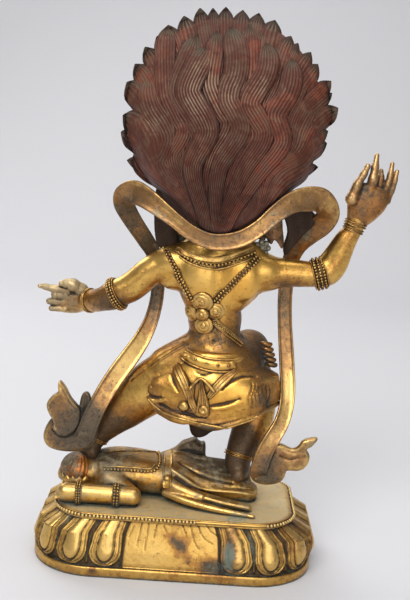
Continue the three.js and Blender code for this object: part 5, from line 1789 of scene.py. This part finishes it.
    def back_trim(self, body: Clay, sight: Sight) -> Shell:
        """The necklace, the bead chains and the rosette on the back."""
        trim = Trim(body, sight)
        for marks in (((166, 250), (171, 260), (177, 271), (183, 283), (191, 299)),
                      ((257, 258), (248, 268), (237, 279), (227, 290), (216, 301))):
            for shift, seed in ((-1.9, 41), (1.9, 42)):
                moved = [(u + shift, v + 0.4 * shift) for u, v in marks]
                trim.beads(moved, 0.66, 1.5, seed, 0.4)
            trim.strip(marks, 1.2, 0.35, Section.FLAT, 0.0)
        trim.strip(((214, 320), (222, 328), (231, 336), (241, 345)), 1.5, 0.7, Section.RIMMED, 0.2)
        trim.beads(((214, 320), (222, 328), (231, 336), (241, 345)), 0.42, 1.0, 44, 0.8)
        for u, v, radius in ((202.5, 302, 4.8), (191.5, 312.5, 4.1), (215.5, 311, 4.2),
                             (204, 325, 4.2)):
            trim.boss((u, v), radius, 1.0, 0.3, 0.3)
            trim.boss((u, v), radius * 0.74, 1.1, 0.7, 0.6)
            trim.boss((u, v), radius * 0.36, 1.0, 1.1)
        trim.boss((203, 313.5), 3.0, 1.7, 1.2, 0.5)
        trim.boss((203, 313.5), 1.4, 1.2, 2.0)
        trim.strip(((177, 250), (190, 256), (205, 260), (220, 260), (238, 256), (253, 250)), 1.5, 0.9,
            Section.RIMMED, 0.2)
        trim.beads(((179, 253), (191, 260), (207, 264.5), (222, 264.5), (240, 259), (254, 253)), 0.8, 1.75,
            43, 0.25)
        trim.strip(((180, 257), (192, 264), (208, 268.5), (222, 268.5), (240, 263), (255, 257)), 0.5, 0.5,
            Section.ROUND, 0.2)
        return trim.shell()

    def collar(self) -> Shell:
        """The collar of beads between two rolled rims, low behind."""
        turn = turns(120) + math.pi / 2
        parts = []

        def loop(grow: float, drop: float) -> Array:
            """The collar's course, a little wider or lower."""
            depth = np.where(np.sin(turn) > 0, 10.9, 7.4) + grow
            return np.stack([12.5 + (15 + grow) * np.cos(turn), 0.4 + depth * np.sin(turn), 143.6 - drop
                - 5 * np.abs(np.sin(turn)) ** 1.5], axis=1)

        out = unit(np.stack([np.cos(turn), np.sin(turn), 0.5 + 0 * turn], axis=1))
        for grow, drop, wide, deep in ((0.2, 0.6, 2.6, 0.8), (-0.9, -1.6, 0.7, 0.8),
                                       (0.9, 3.1, 0.8, 0.7)):
            rows = np.hstack([loop(grow, drop), np.tile((wide, deep), (len(turn), 1))])
            parts.append(swept(rows, Section.ROUND, out, closed=True))
        course = loop(0.8, 1.0)
        parts.append(BeadString(1.0, 2.15, 0.1).along(np.vstack([course, course[:1]]),
            np.vstack([out, out[:1]]), 51))
        return Shell.joined(parts)

    def skirt_trim(self, clay: Clay, sight: Sight) -> Shell:
        """The belt, ribbons, knot and the beads of the hem on the skirt's back."""
        trim = Trim(clay, sight)
        rolled, ridged = Section.ROUND, Section.RIDGED
        strips = (
            (((185, 349.5), (195, 354.5), (207, 358.5), (220, 360), (233, 360)), 0.5, 0.5, rolled, 0.3),
            (((181, 357), (190, 363), (203, 369), (217, 371.5), (233, 371.5)), 0.5, 0.5, rolled, 0.3),
            (((174, 360), (179, 373), (185, 386), (189, 399)), (1.6, 2.3, 2.4, 1.3), 0.85, ridged, 0.2),
            (((209, 397), (215, 389), (224, 380), (235, 371)), (1.4, 2.2, 2.2, 1.4), 0.85, ridged, 0.2),
            (((190, 389), (195, 383), (201, 379), (208, 384), (214, 391)), 0.85, 0.85, rolled, 0.5),
            (((194, 386), (191, 396), (193, 405), (198, 413)), (0.8, 1.6, 1.8, 1.4), 0.9, ridged, 0.4),
            (((202, 381), (202.5, 392), (203, 404), (202, 414)), (0.7, 1.7, 2.9, 3.3), 1.25, ridged, 0.6))
        for marks, half, deep, section, lift in strips:
            trim.strip(marks, half, deep, section, lift)
        for mark in ((195, 359), (207, 364), (218, 365.6), (229, 366)):
            trim.boss(mark, 0.9, 0.5, 0.45, 1.2)
        trim.boss((184, 406), 2.4, 1.9, 0.2)
        trim.boss((204, 409.5), 2.3, 1.2, 1.3, 0.7)
        hem = ((148, 399), (155, 406), (163, 412), (176, 417.5), (190, 421), (203, 424), (218, 427),
            (232, 428), (245, 424), (257, 416))
        trim.strip(hem, 0.55, 0.55, Section.ROUND, 0.1)
        return trim.shell()

    def hip_knobs(self) -> Shell:
        """The five small rounded folds that stand at the right hip."""
        parts = []
        for k in range(5):
            centre = np.array([35.6 + k * 0.75, 4.6, 100.0 - k * 2.35])
            rows = np.array(self.knob_rows) + (*centre, 0, 0)
            parts.append(swept(curve_through(rows, 5), Section.ROUND, UP, dome=1.0))
        return Shell.joined(parts)

    def build(self, dresser: Dresser, sight: Sight) -> None:
        """Builds and dresses the standing figure."""
        node = "standing_deity"
        body = self.body()
        for marks in (((128, 372), (150, 355), (170, 343), (186, 336)),
                      ((131, 380), (152, 364), (170, 352), (184, 344))):
            sight.draw(body, marks, 0.6, 0.5, True)
        # Shade spots paint shade on the body, and painted highlight where negative; on the legs they also
        # stand for brown tarnish. The warm spots tint it orange.
        dresser.piece(body.shell(), "deity_body", self.finish, node, shade=((114, 428, 34, 22, 0.65),
            (150, 372, 30, 24, 0.12), (92, 455, 16, 14, 0.9), (142, 396, 26, 10, -0.22),
            (240, 452, 22, 34, 1.25), (262, 350, 20, 34, 0.65), (214, 345, 28, 16, 0.34),
            (240, 318, 12, 24, 0.32), (112, 304, 34, 10, 0.55), (100, 288, 14, 10, 0.3),
            (162, 298, 18, 14, 0.4), (188, 264, 36, 18, -0.35), (285, 256, 34, 10, -0.45),
            (240, 278, 22, 22, -0.5), (214, 332, 24, 16, 0.32), (300, 268, 30, 6, 0.2),
            (208, 270, 34, 5, 0.3), (348, 230, 12, 24, 0.3), (285, 284, 34, 7, 0.5),
            (192, 320, 8, 24, 0.3), (335, 262, 14, 14, 0.1), (175, 345, 16, 10, 0.2)),
            warm=((238, 282, 22, 26, 0.9), (290, 262, 36, 12, 0.5), (200, 300, 20, 14, 0.4),
            (350, 235, 20, 20, 0.3), (214, 338, 24, 16, 0.9), (160, 280, 20, 12, 0.2)))
        for name, parts, low, high, finish in (
                ("deity_left_hand", LEFT_HAND, (-75, 5, 103), (-46, 24, 126), self.hand_finish),
                ("deity_right_hand", RIGHT_HAND, (60, -11, 155), (92, 7, 192), self.palm_finish)):
            # Shade spots paint shade on the hands, with a little painted highlight on the left one.
            dresser.piece(self.hand(parts, low, high).shell(), name, finish, node,
                shade=((75, 300, 30, 9, 0.35), (70, 285, 30, 8, -0.1), (374, 190, 22, 34, 0.34),
                (362, 205, 8, 20, 0.3), (388, 180, 8, 24, 0.2)))
        skirt = self.skirt()
        self.drape(skirt, sight)
        self.stripes(skirt, sight)
        # Shade spots paint shade and painted highlight on the skirt; the warm spots tint it orange.
        dresser.piece(skirt.shell(), "deity_skirt", self.skirt_finish, node,
            shade=((146, 385, 16, 26, 0.35), (168, 412, 22, 8, 0.45), (266, 400, 12, 30, 0.45),
            (258, 368, 20, 12, 0.45), (204, 432, 16, 7, 0.9), (212, 374, 24, 10, -0.42),
            (234, 400, 20, 14, -0.12), (228, 424, 30, 6, 0.3), (182, 390, 8, 20, 0.2),
            (200, 404, 14, 14, 0.12), (234, 404, 26, 14, 0.2)), warm=((226, 398, 26, 20, 0.9),
            (180, 385, 20, 20, 0.4), (212, 362, 26, 10, 0.4)))
        dresser.piece(self.skirt_trim(skirt, sight), "skirt_trim", self.trim_finish, node)
        dresser.piece(self.hip_knobs().tinted(0.4), "hip_folds", self.trim_finish, node)
        dresser.piece(self.head().shell(), "deity_head", self.finish, node)
        diadem = self.diadem()
        diadem.tags["shade"] = 0.85 * ramp(13.0 - diadem.points[:, 1], 0, 5)
        dresser.piece(diadem, "deity_diadem", self.trim_finish, node)
        dresser.piece(self.ties(sight), "diadem_ties", self.tie_finish, node)
        dresser.piece(self.ear_discs(), "ear_discs", self.disc_finish, node)
        jewels = Shell.joined([self.back_trim(body, sight), self.collar(),
            band_round(LEFT_ARM, 40.6, 1.8, 1.0, 2, 61), band_round(LEFT_ARM, 58.6, 0.7, 0.7),
            band_round(RIGHT_ARM, 34.8, 3.0, 1.0, 3, 71), band_round(RIGHT_ARM, 60.4, 0.8, 0.9),
            band_round(RIGHT_ARM, 62.9, 0.8, 0.9), band_round(LEFT_LEG, 60, 0.9, 0.8),
            band_round(RIGHT_LEG, 76.5, 0.9, 0.9)])
        dresser.piece(jewels, "deity_jewellery", self.trim_finish, node)


# Fan of hair


@dataclass
class FlameHair:
    """The fan of upswept hair: a core, rows of waved locks behind and plainer ones in front."""

    centre: tuple[float, float] = (11.4, 201.0)
    pole: float = 156.0
    radius: float = 46.8
    valley: float = 42.6
    sweep: float = 268.0
    rim_y: float = 3.0
    wave: float = 31.0
    sway: float = 3.6
    tips: Marks = ((127, 160), (121, 132), (123, 115), (127, 82), (135, 64), (145, 47), (157, 36),
        (168, 25), (184, 16), (200, 8), (213, 8), (226, 7), (243, 10), (259, 13), (275, 20), (291, 36),
        (298, 43), (311, 52), (318, 64), (331, 81), (332, 93), (338, 108), (328, 131), (327, 143),
        (318, 167))
    lower: Rows = ((37, 160.5), (28, 152.5), (18, 147.2), (7, 146.8), (-2.6, 150.6), (-12, 158.6))
    leads: tuple[tuple[Marks, float, float, int, float], ...] = (
        (((167, 25), (165, 45), (165, 70), (167, 95), (176, 115), (183, 130), (179, 143), (172, 155),
            (175, 170), (183, 186), (192, 204)), 4.6, 1.6, 7, 9.0),
        (((196, 34), (188, 55), (179, 75), (175, 90), (180, 103), (191, 120), (199, 137), (194, 150),
            (187, 163), (186, 177), (190, 192), (197, 212)), 4.6, 2.0, 7, 9.0),
        (((208, 47), (202, 58), (195, 71), (189, 84), (188, 93), (194, 105), (202, 118), (207, 131),
            (203, 143), (196, 156), (192, 168), (194, 182), (198, 196), (204, 218)), 5.6, 3.4, 9, 6.0),
        (((217, 30), (215, 52), (212, 70), (211, 84), (215, 96), (222, 110), (229, 122), (226, 134),
            (216, 150), (210, 165), (207, 180), (207, 198), (209, 218)), 4.6, 1.8, 7, 9.0),
        (((231, 26), (236, 48), (237, 62), (235, 76), (230, 88), (229, 100), (235, 112), (241, 126),
            (238, 138), (229, 152), (220, 166), (217, 180), (215, 198), (214, 219)), 5.4, 2.8, 8, 9.0),
        (((250, 24), (250, 50), (250, 70), (246, 86), (240, 99), (243, 112), (250, 125), (252, 137),
            (245, 150), (236, 165), (230, 182), (225, 200), (219, 219)), 4.8, 1.5, 7, 9.0),
        (((267, 42), (268, 60), (265, 74), (258, 86), (251, 98), (250, 107), (257, 119), (264, 132),
            (261, 145), (252, 158), (243, 172), (236, 188), (229, 204), (222, 219)), 5.2, 2.6, 8, 8.0),
        (((293, 58), (293, 76), (289, 92), (282, 104), (276, 116), (280, 128), (283, 141), (277, 153),
            (267, 165), (257, 178), (246, 194), (234, 212)), 5.0, 2.0, 7, 9.0),
        (((148, 76), (147, 95), (152, 110), (161, 124), (167, 138), (164, 151), (159, 163), (166, 177),
            (177, 193), (190, 210)), 4.8, 1.4, 7, 9.0))
    finish: HairFinish = HairFinish()

    def rim(self, radius: float, count: int) -> Array:
        """The fan's outline as [x, z], from its left end over the top and back below."""
        turn = np.radians(np.linspace(-self.sweep / 2, self.sweep / 2, count))
        arc = np.stack([self.centre[0] + radius * np.sin(turn), self.centre[1] + radius * np.cos(turn)],
            axis=1)
        ends = curve_through(np.vstack([arc[-1], self.lower, arc[0]]), 8)
        return np.vstack([arc, ends[1:-1]])

    def share(self, x: Array, z: Array) -> Array:
        """How far a place is from the pole to the rim, 0 to 1."""
        outline = self.rim(self.radius - 1.6, 160)
        off = outline - (self.centre[0], self.pole)
        angles = np.arctan2(off[:, 0], off[:, 1])
        order = np.argsort(angles)
        reach = np.hypot(off[:, 0], off[:, 1])[order]
        place = np.arctan2(x - self.centre[0], z - self.pole)
        limit = np.interp(place, angles[order], reach, period=2 * math.pi)
        return np.clip(np.hypot(x - self.centre[0], z - self.pole) / limit, 0, 1)

    def level(self, flat: Array, face: int) -> Array:
        """The Y of the fan's back, where `face` is -1, or front at places given as x and z."""
        share = self.share(flat[..., 0], flat[..., 1])
        if face < 0:
            return self.rim_y - 16 * (1 - share ** 1.6) - 10 * np.sin(math.pi * share)
        return self.rim_y + 12 * np.sin(math.pi * share) ** 0.8 - 2 * (1 - share)

    def core(self) -> Shell:
        """The lens that the locks lie on."""
        outline = self.rim(self.valley - 1.6, 120)
        pole = np.array([self.centre[0], self.pole])
        rings = []
        levels = np.sin(np.linspace(0.06, 1, 20) * math.pi / 2)
        for face, steps in ((-1, levels), (1, levels[-2::-1])):
            for level in steps:
                flat = pole + (outline - pole) * level
                y = self.level(flat, face) - face * 0.5
                rings.append(np.stack([flat[:, 0], y, flat[:, 1]], axis=1))
        shell = tube(np.array(rings))
        # Its low strand value makes the core show dark between the locks: painted shade.
        shell.tags = {"strand": np.full(len(shell.points), 0.2)}
        return shell

    def course(self, root: tuple[float, float], tip: Array, way: Array, seed: int, rows: int) -> Array:
        """A combed lock's course with the hair's waves in it.

        Args:
            root: Where it starts, as x and z.
            tip: Where it ends.
            way: The direction of its tip.
            seed: What its unevenness is drawn from.
            rows: Steps along it.

        Returns:
            Its points as x and z.
        """
        rng = np.random.default_rng(seed)
        start = np.array(root, float)
        length = float(np.linalg.norm(tip - start))
        leave = unit(0.6 * unit(tip - start) + 0.4 * np.array([0.0, 1.0]))
        s = 1 - (1 - np.linspace(0, 1, rows)[:, None]) ** 1.5
        first, second = start + leave * length * 0.36, tip - way * length * 0.36
        path = (start * (1 - s) ** 3 + 3 * first * s * (1 - s) ** 2 + 3 * second * s ** 2 * (1 - s)
            + tip * s ** 3)
        ways = unit(np.gradient(path, axis=0))
        sides = np.stack([ways[:, 1], -ways[:, 0]], axis=1)
        upright = np.abs(ways[:, 1:])
        phase = 2 * math.pi * (path[:, 1:] - 210) / self.wave
        phase = phase + 0.5 * np.clip((path[:, :1] - self.centre[0]) / 30, -1, 1.2)
        hold = np.sin(math.pi * s ** 0.9) ** 0.8 * (1 - 0.85 * ramp(s, 0.66, 0.92))
        sway = -self.sway * np.cos(phase + rng.uniform(-0.25, 0.25)) * hold
        return path + sides * sway * (0.35 + 0.65 * upright) * min(length / 60, 1.0)

    def lock(self, path: Array, half: float, lift: float, point: float, face: int, seed: int, across: int,
            strands: int, root: float = 0.42) -> Shell:
        """One combed lock.

        Args:
            path: Its course as x and z, from root to tip.
            half: Half its greatest width.
            lift: How far it lies above the core.
            point: How long its pointed end is.
            face: -1 behind, 1 in front.
            seed: What its unevenness is drawn from.
            across: Points across its outer side.
            strands: How many strands it is combed into.
            root: Its width at the root as a share of its greatest width.

        Returns:
            The lock.
        """
        rng = np.random.default_rng(seed)
        rows = len(path)
        ways = unit(np.gradient(path, axis=0))
        sides = np.stack([ways[:, 1], -ways[:, 0]], axis=1)
        steps = np.linalg.norm(np.diff(path, axis=0), axis=1)
        s = np.concatenate([[0], np.cumsum(steps)]) / steps.sum()
        tooth = min(max(1 - point / steps.sum(), 0.5), 0.97)
        closing = np.clip((s - tooth) / (1 - tooth), 0, 1)
        wide = half * (root + (1 - root) * ramp(s, 0.0, 0.75)) * (1 - 0.97 * closing ** 2.3)
        u = np.linspace(-1, 1, across)
        comb = 0.5 + 0.5 * np.cos(u[None] * math.pi * strands + rng.uniform(0, 6)
            + 0.8 * np.sin(6 * s)[:, None])
        grooved = (comb - 1) * min(1.9 * half / strands, 0.55) * (0.35 + 0.65 * wide / half)[:, None]
        arch = 1 - np.abs(u) ** 3
        high = (0.8 + 0.18 * half) * (0.5 + 0.5 * ramp(s, 0.05, 0.5)) * (1 - 0.7 * ramp(s, 0.86, 1.0))
        top = high[:, None] * arch[None] + grooved * (1 - np.abs(u)[None] ** 6) - 0.9
        flat = path[:, None] + sides[:, None] * (wide[:, None] * u[None])[..., None]
        settle = lift * (1 - 0.5 * ramp(s, 0.88, 1.0))[:, None]
        outer = self.level(flat, face) + face * (top + settle)
        under = np.array([0.9, 0.0, -0.9])
        flat_under = path[:, None] + sides[:, None] * (wide[:, None] * under[None])[..., None]
        thick = (1.6 - 1.2 * ramp(s, 0.72, 1.0))[:, None]
        inner = self.level(flat_under, face) - face * thick
        rings = np.concatenate([np.stack([flat[..., 0], outer, flat[..., 1]], axis=-1),
            np.stack([flat_under[..., 0], inner, flat_under[..., 1]], axis=-1)], axis=1)
        strand = np.hstack([0.75 * comb * arch ** 0.3 + 0.25 * arch, np.zeros((rows, 3))])
        tag_tip = np.repeat(ramp(s, 0.80, 1.0)[:, None], across + 3, axis=1)
        tint = np.full((rows, across + 3), rng.uniform(-0.6, 1.0))
        return tube(rings, {"strand": strand, "tip": tag_tip, "tint": tint})

    def lead_locks(self, sight: Sight) -> Shell:
        """The broad zigzag locks that lie on top in the middle of the back."""
        parts = []
        for k, (marks, half, lift, strands, point) in enumerate(self.leads):
            path = curve_through([*marks, (206 + (marks[-1][0] - 206) * 0.6, 236)], 12)
            depth = np.full(len(path), -18.0)
            for _ in range(3):
                flat = sight.at_depth(path, depth)[:, [0, 2]]
                depth = self.level(flat, -1) - 1.5 - lift
            parts.append(self.lock(spaced(flat[::-1], 1.2), half, lift, point, -1, 71 + k, 4 * strands + 3,
                strands, 0.5))
        return Shell.joined(parts)

    def locks(self, face: int, sight: Sight) -> Shell:
        """All the locks on one side of the fan.

        Args:
            face: -1 behind, 1 in front.
            sight: The camera, which the rim's points were marked by.

        Returns:
            The locks as one shell.
        """
        parts = []
        rng = np.random.default_rng(17)
        rim = sight.at_depth(self.tips, self.rim_y)[:, [0, 2]]
        off = rim - self.centre
        angles = np.unwrap(np.arctan2(off[:, 0], off[:, 1]))
        gaps = np.gradient(angles) * self.valley
        rows = ((1.0, 0, 1, 0.0, 6.6), (0.87, 0.5, 1, 0.9, 8.0) if face < 0 else (0.80, 0.5, 2, 0.9, 9.0))
        count = len(angles)
        for share, offset, step, lift, point in rows:
            for k in np.arange(offset, count - 1 + 0.01, step):
                turn = float(np.interp(k, np.arange(count), angles))
                tip = np.array([np.interp(k, np.arange(count), column) for column in rim.T])
                gap = float(np.interp(k, np.arange(count), gaps))
                if share < 1:
                    pole = np.array([self.centre[0], self.pole + 4])
                    tip = pole + (tip - pole) * (share + rng.uniform(-0.04, 0.04))
                root = (self.centre[0] + 12 * math.sin(turn * 0.55), 150 + 4 * abs(math.sin(turn * 0.55)))
                lean = 0.62 if share == 1 else 0.3
                bend = turn * (lean + 0.12 * (turn / 2.34) ** 2)
                way = np.array([math.sin(bend), math.cos(bend)])
                half = gap * (0.48 + 0.12 * share) * (0.6 + 0.4 * share)
                seed = int(1000 * share + 10 * k)
                if share == 1 and k in (0, count - 1):
                    half *= 0.5
                path = self.course(root, tip, way, seed, 42 if face < 0 else 26)
                parts.append(self.lock(path, half, lift, point, face, seed, 21 if face < 0 else 11, 5
                    + seed % 3))
        if face < 0:
            parts.append(self.lead_locks(sight))
        return Shell.joined(parts)

    def build(self, dresser: Dresser, sight: Sight) -> None:
        """Builds and dresses the hair."""
        for name, shell in (("hair_core", self.core()), ("hair_locks_back", self.locks(-1, sight)),
                            ("hair_locks_front", self.locks(1, sight))):
            # The marked spots add wear and painted highlight to the hair's ridges, and take it away low
            # down.
            dresser.piece(shell, name, self.finish, "flame_hair", "red_hair_paint",
                rub=((200, 90, 22, 34, 0.75), (232, 90, 12, 20, 0.5), (262, 95, 12, 20, 0.55),
                (150, 120, 14, 20, 0.45), (200, 165, 16, 26, 0.35), (222, 150, 14, 20, 0.3),
                (300, 145, 14, 12, 0.3), (215, 230, 60, 24, -0.5), (300, 170, 30, 30, -0.2)))


# Scarf


SCARF_COURSE = ((-46.2, -8.2, 51, 4.2), (-43.4, -10.2, 56, 4.5), (-41.4, -9.8, 62, 4.4),
    (-38.4, -8.4, 69.6, 4.2), (-34.2, -5.6, 77.8, 4.3), (-30.1, -2.4, 84.4, 4.4), (-25, 1.6, 91.8, 4.3),
    (-20.4, 5.8, 99.4, 3.8), (-17.2, 9.6, 107.6, 3.3), (-15.6, 12.2, 117, 3.1), (-15.8, 13, 127, 3.1),
    (-18, 11.8, 136.4, 3.4), (-22.1, 9.4, 143.2, 3.8), (-26.8, 6, 150.2, 4), (-30, 2.6, 155.6, 4.3),
    (-31.8, -1.4, 160.2, 4.6), (-30.9, -5.6, 163.9, 5), (-27.2, -9, 165.7, 5.2), (-23, -12, 164.6, 4.8),
    (-17, -15.4, 161.4, 4.1), (-9, -18, 156.2, 3.3), (-1.4, -19.4, 151.2, 3.3), (6.4, -20.2, 148.2, 3.5),
    (13.6, -20.3, 148.2, 3.6), (21, -19.8, 150.4, 3.6), (28, -18.6, 155.2, 3.5), (34.6, -16.6, 161.5, 3.9),
    (41, -13.9, 166.1, 4.6), (47.3, -11.4, 167.7, 5.3), (53, -9, 167.6, 5.4), (56.6, -6, 164.4, 5.1),
    (57.7, -2.4, 160.4, 5.1), (55.6, 1.6, 155.8, 5.1), (51.2, 5.4, 151.1, 4.8), (46.9, 8.6, 145.6, 4.3),
    (44.3, 11.2, 138.4, 3.8), (43.2, 12.4, 129.4, 3.4), (43.1, 12.2, 119, 3.3), (43.8, 10.8, 109, 3.3),
    (44.8, 8.8, 100, 3.4), (45.9, 5.8, 90, 3.5), (46.7, 2, 80.6, 3.5), (46.4, -2, 73, 3.4),
    (44.4, -5.8, 66, 3.5), (41, -8.5, 60, 3.7), (38, -9.5, 54, 3.9), (36.2, -9.9, 47.6, 3.9),
    (35.4, -9.6, 43.4, 3.7), (36.4, -7.2, 40.2, 3.2))


@dataclass
class Scarf:
    """The flat scarf that loops round both shoulders and ends in curled folds."""

    thick: float = 0.95
    finish: GiltFinish = GiltFinish("gilt_scarf", gold=(0.58, 0.37, 0.13), orange=(0.36, 0.19, 0.075),
        patina_and_shade=(0.105, 0.082, 0.056), tarnish=0.5, dull=0.2, verdigris=0.05, polish=0.28)
    left_lobe: Marks = ((98, 430), (95, 445), (85, 450), (70, 452), (55, 450), (46, 445), (43, 436),
        (46, 426), (52, 418), (64, 410), (82, 411), (95, 418))
    left_flame: Marks = ((54, 428), (53, 420), (48, 411), (47, 403), (52, 396), (58, 392), (58, 385),
        (60, 381), (66, 388), (71, 398), (79, 408), (80, 417), (77, 427), (71, 433), (64, 436), (58, 433))
    left_knob: Marks = ((79, 412), (80, 401), (83, 393), (88, 392), (91, 398), (90, 409), (90, 420),
        (82, 424))
    right_lobe: Marks = ((252, 462), (251, 472), (253, 481), (262, 485), (272, 485), (281, 482),
        (286, 474), (285, 462), (278, 448), (268, 445), (257, 450))
    right_tail: Marks = ((270, 446), (280, 444), (292, 449), (298, 447), (303, 441), (314, 438),
        (318, 440), (312, 447), (307, 450), (310, 457), (307, 466), (300, 471), (287, 471), (272, 474),
        (264, 462))

    def strip(self) -> Shell:
        """The long strip with its two raised rims."""
        course = [(x, y, z, half, self.thick) for x, y, z, half in SCARF_COURSE]
        path = spaced(curve_through(course, 8), 1.0)
        return swept(path, Section.RIMMED, FORWARD, dome=0.8)

    def folds(self, sight: Sight) -> tuple[Clay, Clay]:
        """Models the curled folds at the two ends."""
        left = Clay((-66, -19, 44), (-36, -1, 84), 0.45)
        left.slab(sight.outline(self.left_lobe, -9), -7.8, 2.3, 1.9, 0.1)
        left.slab(sight.outline(self.left_flame, -11), -10.2, 2.2, 0.7, 0.25)
        left.slab(sight.outline(self.left_knob, -7), -6.8, 1.7, 1.2, 0.8)
        right = Clay((26, -16, 33), (68, -2, 64), 0.45)
        right.slab(sight.outline(self.right_lobe, -8), -6.5, 2.5, 2.0, 0.1)
        right.slab(sight.outline(self.right_tail, -8), -6.9, 1.9, 1.4, 0.9)
        for clay, marks, half, cut in (
                (left, ((61, 387), (66, 397), (69, 404), (76, 410), (79, 415)), 0.35, True),
                (left, ((49, 406), (53, 400), (58, 397)), 0.35, True),
                (left, ((85, 420), (85, 408), (86, 397)), 0.5, True),
                (left, ((52, 424), (55, 429), (59, 434)), 0.7, False),
                (right, ((265, 462), (265, 466)), 1.6, True),
                (right, ((274, 449), (270, 458), (267, 464)), 0.5, True),
                (right, ((280, 456), (290, 460), (298, 458)), 0.4, True),
                (right, ((284, 449), (293, 453), (300, 451), (305, 445)), 0.35, True)):
            sight.draw(clay, marks, half, 0.9, cut, 1.0)
        return left, right

    def build(self, dresser: Dresser, sight: Sight) -> None:
        """Builds and dresses the scarf."""
        left, right = self.folds(sight)
        # Painted shade and painted highlight spots on the scarf.
        spots = ((70, 425, 30, 40, 0.7), (154, 298, 12, 34, 0.6), (124, 352, 16, 22, -0.3),
            (96, 420, 12, 22, 0.25), (125, 215, 26, 26, 0.55), (150, 250, 20, 24, 0.55),
            (283, 300, 12, 70, 0.4), (290, 392, 10, 26, -0.25), (205, 240, 60, 14, 0.35),
            (290, 235, 26, 16, 0.4), (305, 215, 30, 24, 0.35), (270, 215, 22, 10, -0.1),
            (310, 205, 20, 14, -0.1), (264, 466, 14, 16, 0.5), (272, 480, 24, 10, 0.5),
            (300, 455, 20, 14, 0.28), (86, 400, 6, 12, 0.4), (276, 460, 8, 10, 0.2),
            (88, 435, 14, 14, 0.25), (312, 442, 10, 6, 0.2), (62, 400, 12, 14, -0.12))
        for shell, name in ((self.strip(), "scarf_strip"), (left.shell(), "scarf_left_fold"),
                            (right.shell(), "scarf_right_fold")):
            dresser.piece(shell, name, self.finish, "scarf", shade=spots)


# Studio


@dataclass
class Studio:
    """The pale sweep, the soft lights and the camera."""

    sight: Sight = Sight()
    floor_tone: Colour = (0.60, 0.60, 0.62)
    air_tone: Colour = (0.76, 0.76, 0.78)
    air_strength: float = 0.42
    backdrop_y: float = 1.15
    bend: float = 0.45
    lens: float = 61.3
    sensor: float = 36.0

    def sweep(self) -> None:
        """Lays the floor that curves up behind the object."""
        profile = [(-6.0, 0.0), (self.backdrop_y - self.bend, 0.0)]
        for turn in np.linspace(0.1, math.pi / 2, 14):
            profile.append((self.backdrop_y - self.bend + self.bend * math.sin(turn),
                self.bend * (1 - math.cos(turn))))
        profile.append((self.backdrop_y, 2.6))
        xs = (-5.0, 5.0)
        points = [(x, y, z) for y, z in profile for x in xs]
        faces = [(2 * k, 2 * k + 1, 2 * k + 3, 2 * k + 2) for k in range(len(profile) - 1)]
        mesh = bpy.data.meshes.new("sweep")
        mesh.from_pydata(points, [], faces)
        mesh.shade_smooth()
        mesh.materials.append(PlainFinish("studio_sweep", self.floor_tone).material())
        floor = bpy.data.objects.new("sweep", mesh)
        bpy.context.scene.collection.objects.link(floor)

    def light(self, name: str, place: Sequence[float], power: float, size: float,
            tone: Colour = (1.0, 1.0, 1.0), target: Triple = (0.0, 0.0, 0.12)) -> None:
        """Hangs one soft lamp aimed at the object's middle or another target.

        Args:
            name: The lamp's name.
            place: Where it hangs, in metres.
            power: Its power in watts.
            size: How wide it is.
            tone: Its colour.
            target: The place it shines at, in metres.
        """
        lamp = bpy.data.lights.new(name, "AREA")
        lamp.energy = power
        lamp.size = size
        lamp.color = tone
        holder = bpy.data.objects.new(name, lamp)
        holder.location = place
        aim = Vector(target) - Vector(place)
        holder.rotation_euler = aim.to_track_quat("-Z", "Y").to_euler()
        bpy.context.scene.collection.objects.link(holder)

    def air(self) -> None:
        """Sets the pale surroundings that the metal reflects."""
        world = bpy.data.worlds.new("studio")
        world.use_nodes = True
        tree = world.node_tree
        tree.nodes.clear()
        sky = tree.nodes.new("ShaderNodeBackground")
        sky.inputs["Color"].default_value = (*self.air_tone, 1.0)
        sky.inputs["Strength"].default_value = self.air_strength
        out = tree.nodes.new("ShaderNodeOutputWorld")
        tree.links.new(sky.outputs[0], out.inputs[0])
        bpy.context.scene.world = world

    def camera(self) -> None:
        """Sets the camera where the photograph was taken from."""
        right, up, ahead = self.sight.axes()
        frame = bpy.data.cameras.new("camera")
        frame.lens = self.lens
        frame.sensor_width = self.sensor
        frame.clip_start = 0.01
        holder = bpy.data.objects.new("camera", frame)
        turn = Matrix((right, up, -ahead)).transposed().to_4x4()
        place = Matrix.Translation(Vector(self.sight.eye) * METRES)
        holder.matrix_world = place @ turn
        bpy.context.scene.collection.objects.link(holder)
        bpy.context.scene.camera = holder

    def build(self) -> None:
        """Sets up the whole studio."""
        self.sweep()
        self.light("key", (-0.35, -1.0, 1.05), 13.0, 0.75, (1.0, 0.985, 0.95))
        self.light("front", (0.35, -1.35, 0.30), 6.0, 1.0, (0.99, 0.99, 1.0))
        self.light("top", (0.15, 0.05, 1.15), 4.5, 0.6)
        self.light("rear", (-0.5, 0.55, 0.7), 3.0, 0.5)
        self.light("backdrop", (-0.25, 0.85, 1.3), 4.2, 0.8, target=(-0.1, self.backdrop_y, 0.45))
        self.air()
        self.camera()
        bpy.context.scene.view_settings.view_transform = "Standard"


def main() -> None:
    """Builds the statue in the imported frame, then the studio."""
    logging.basicConfig(level=logging.INFO, format="%(message)s")
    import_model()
    sight = Sight()
    dresser = Dresser(sight)
    LotusPlinth().build(dresser, sight)
    ProneFigure().build(dresser, sight)
    StandingFigure().build(dresser, sight)
    FlameHair().build(dresser, sight)
    Scarf().build(dresser, sight)
    Studio(sight).build()


if __name__ == "__main__":
    main()
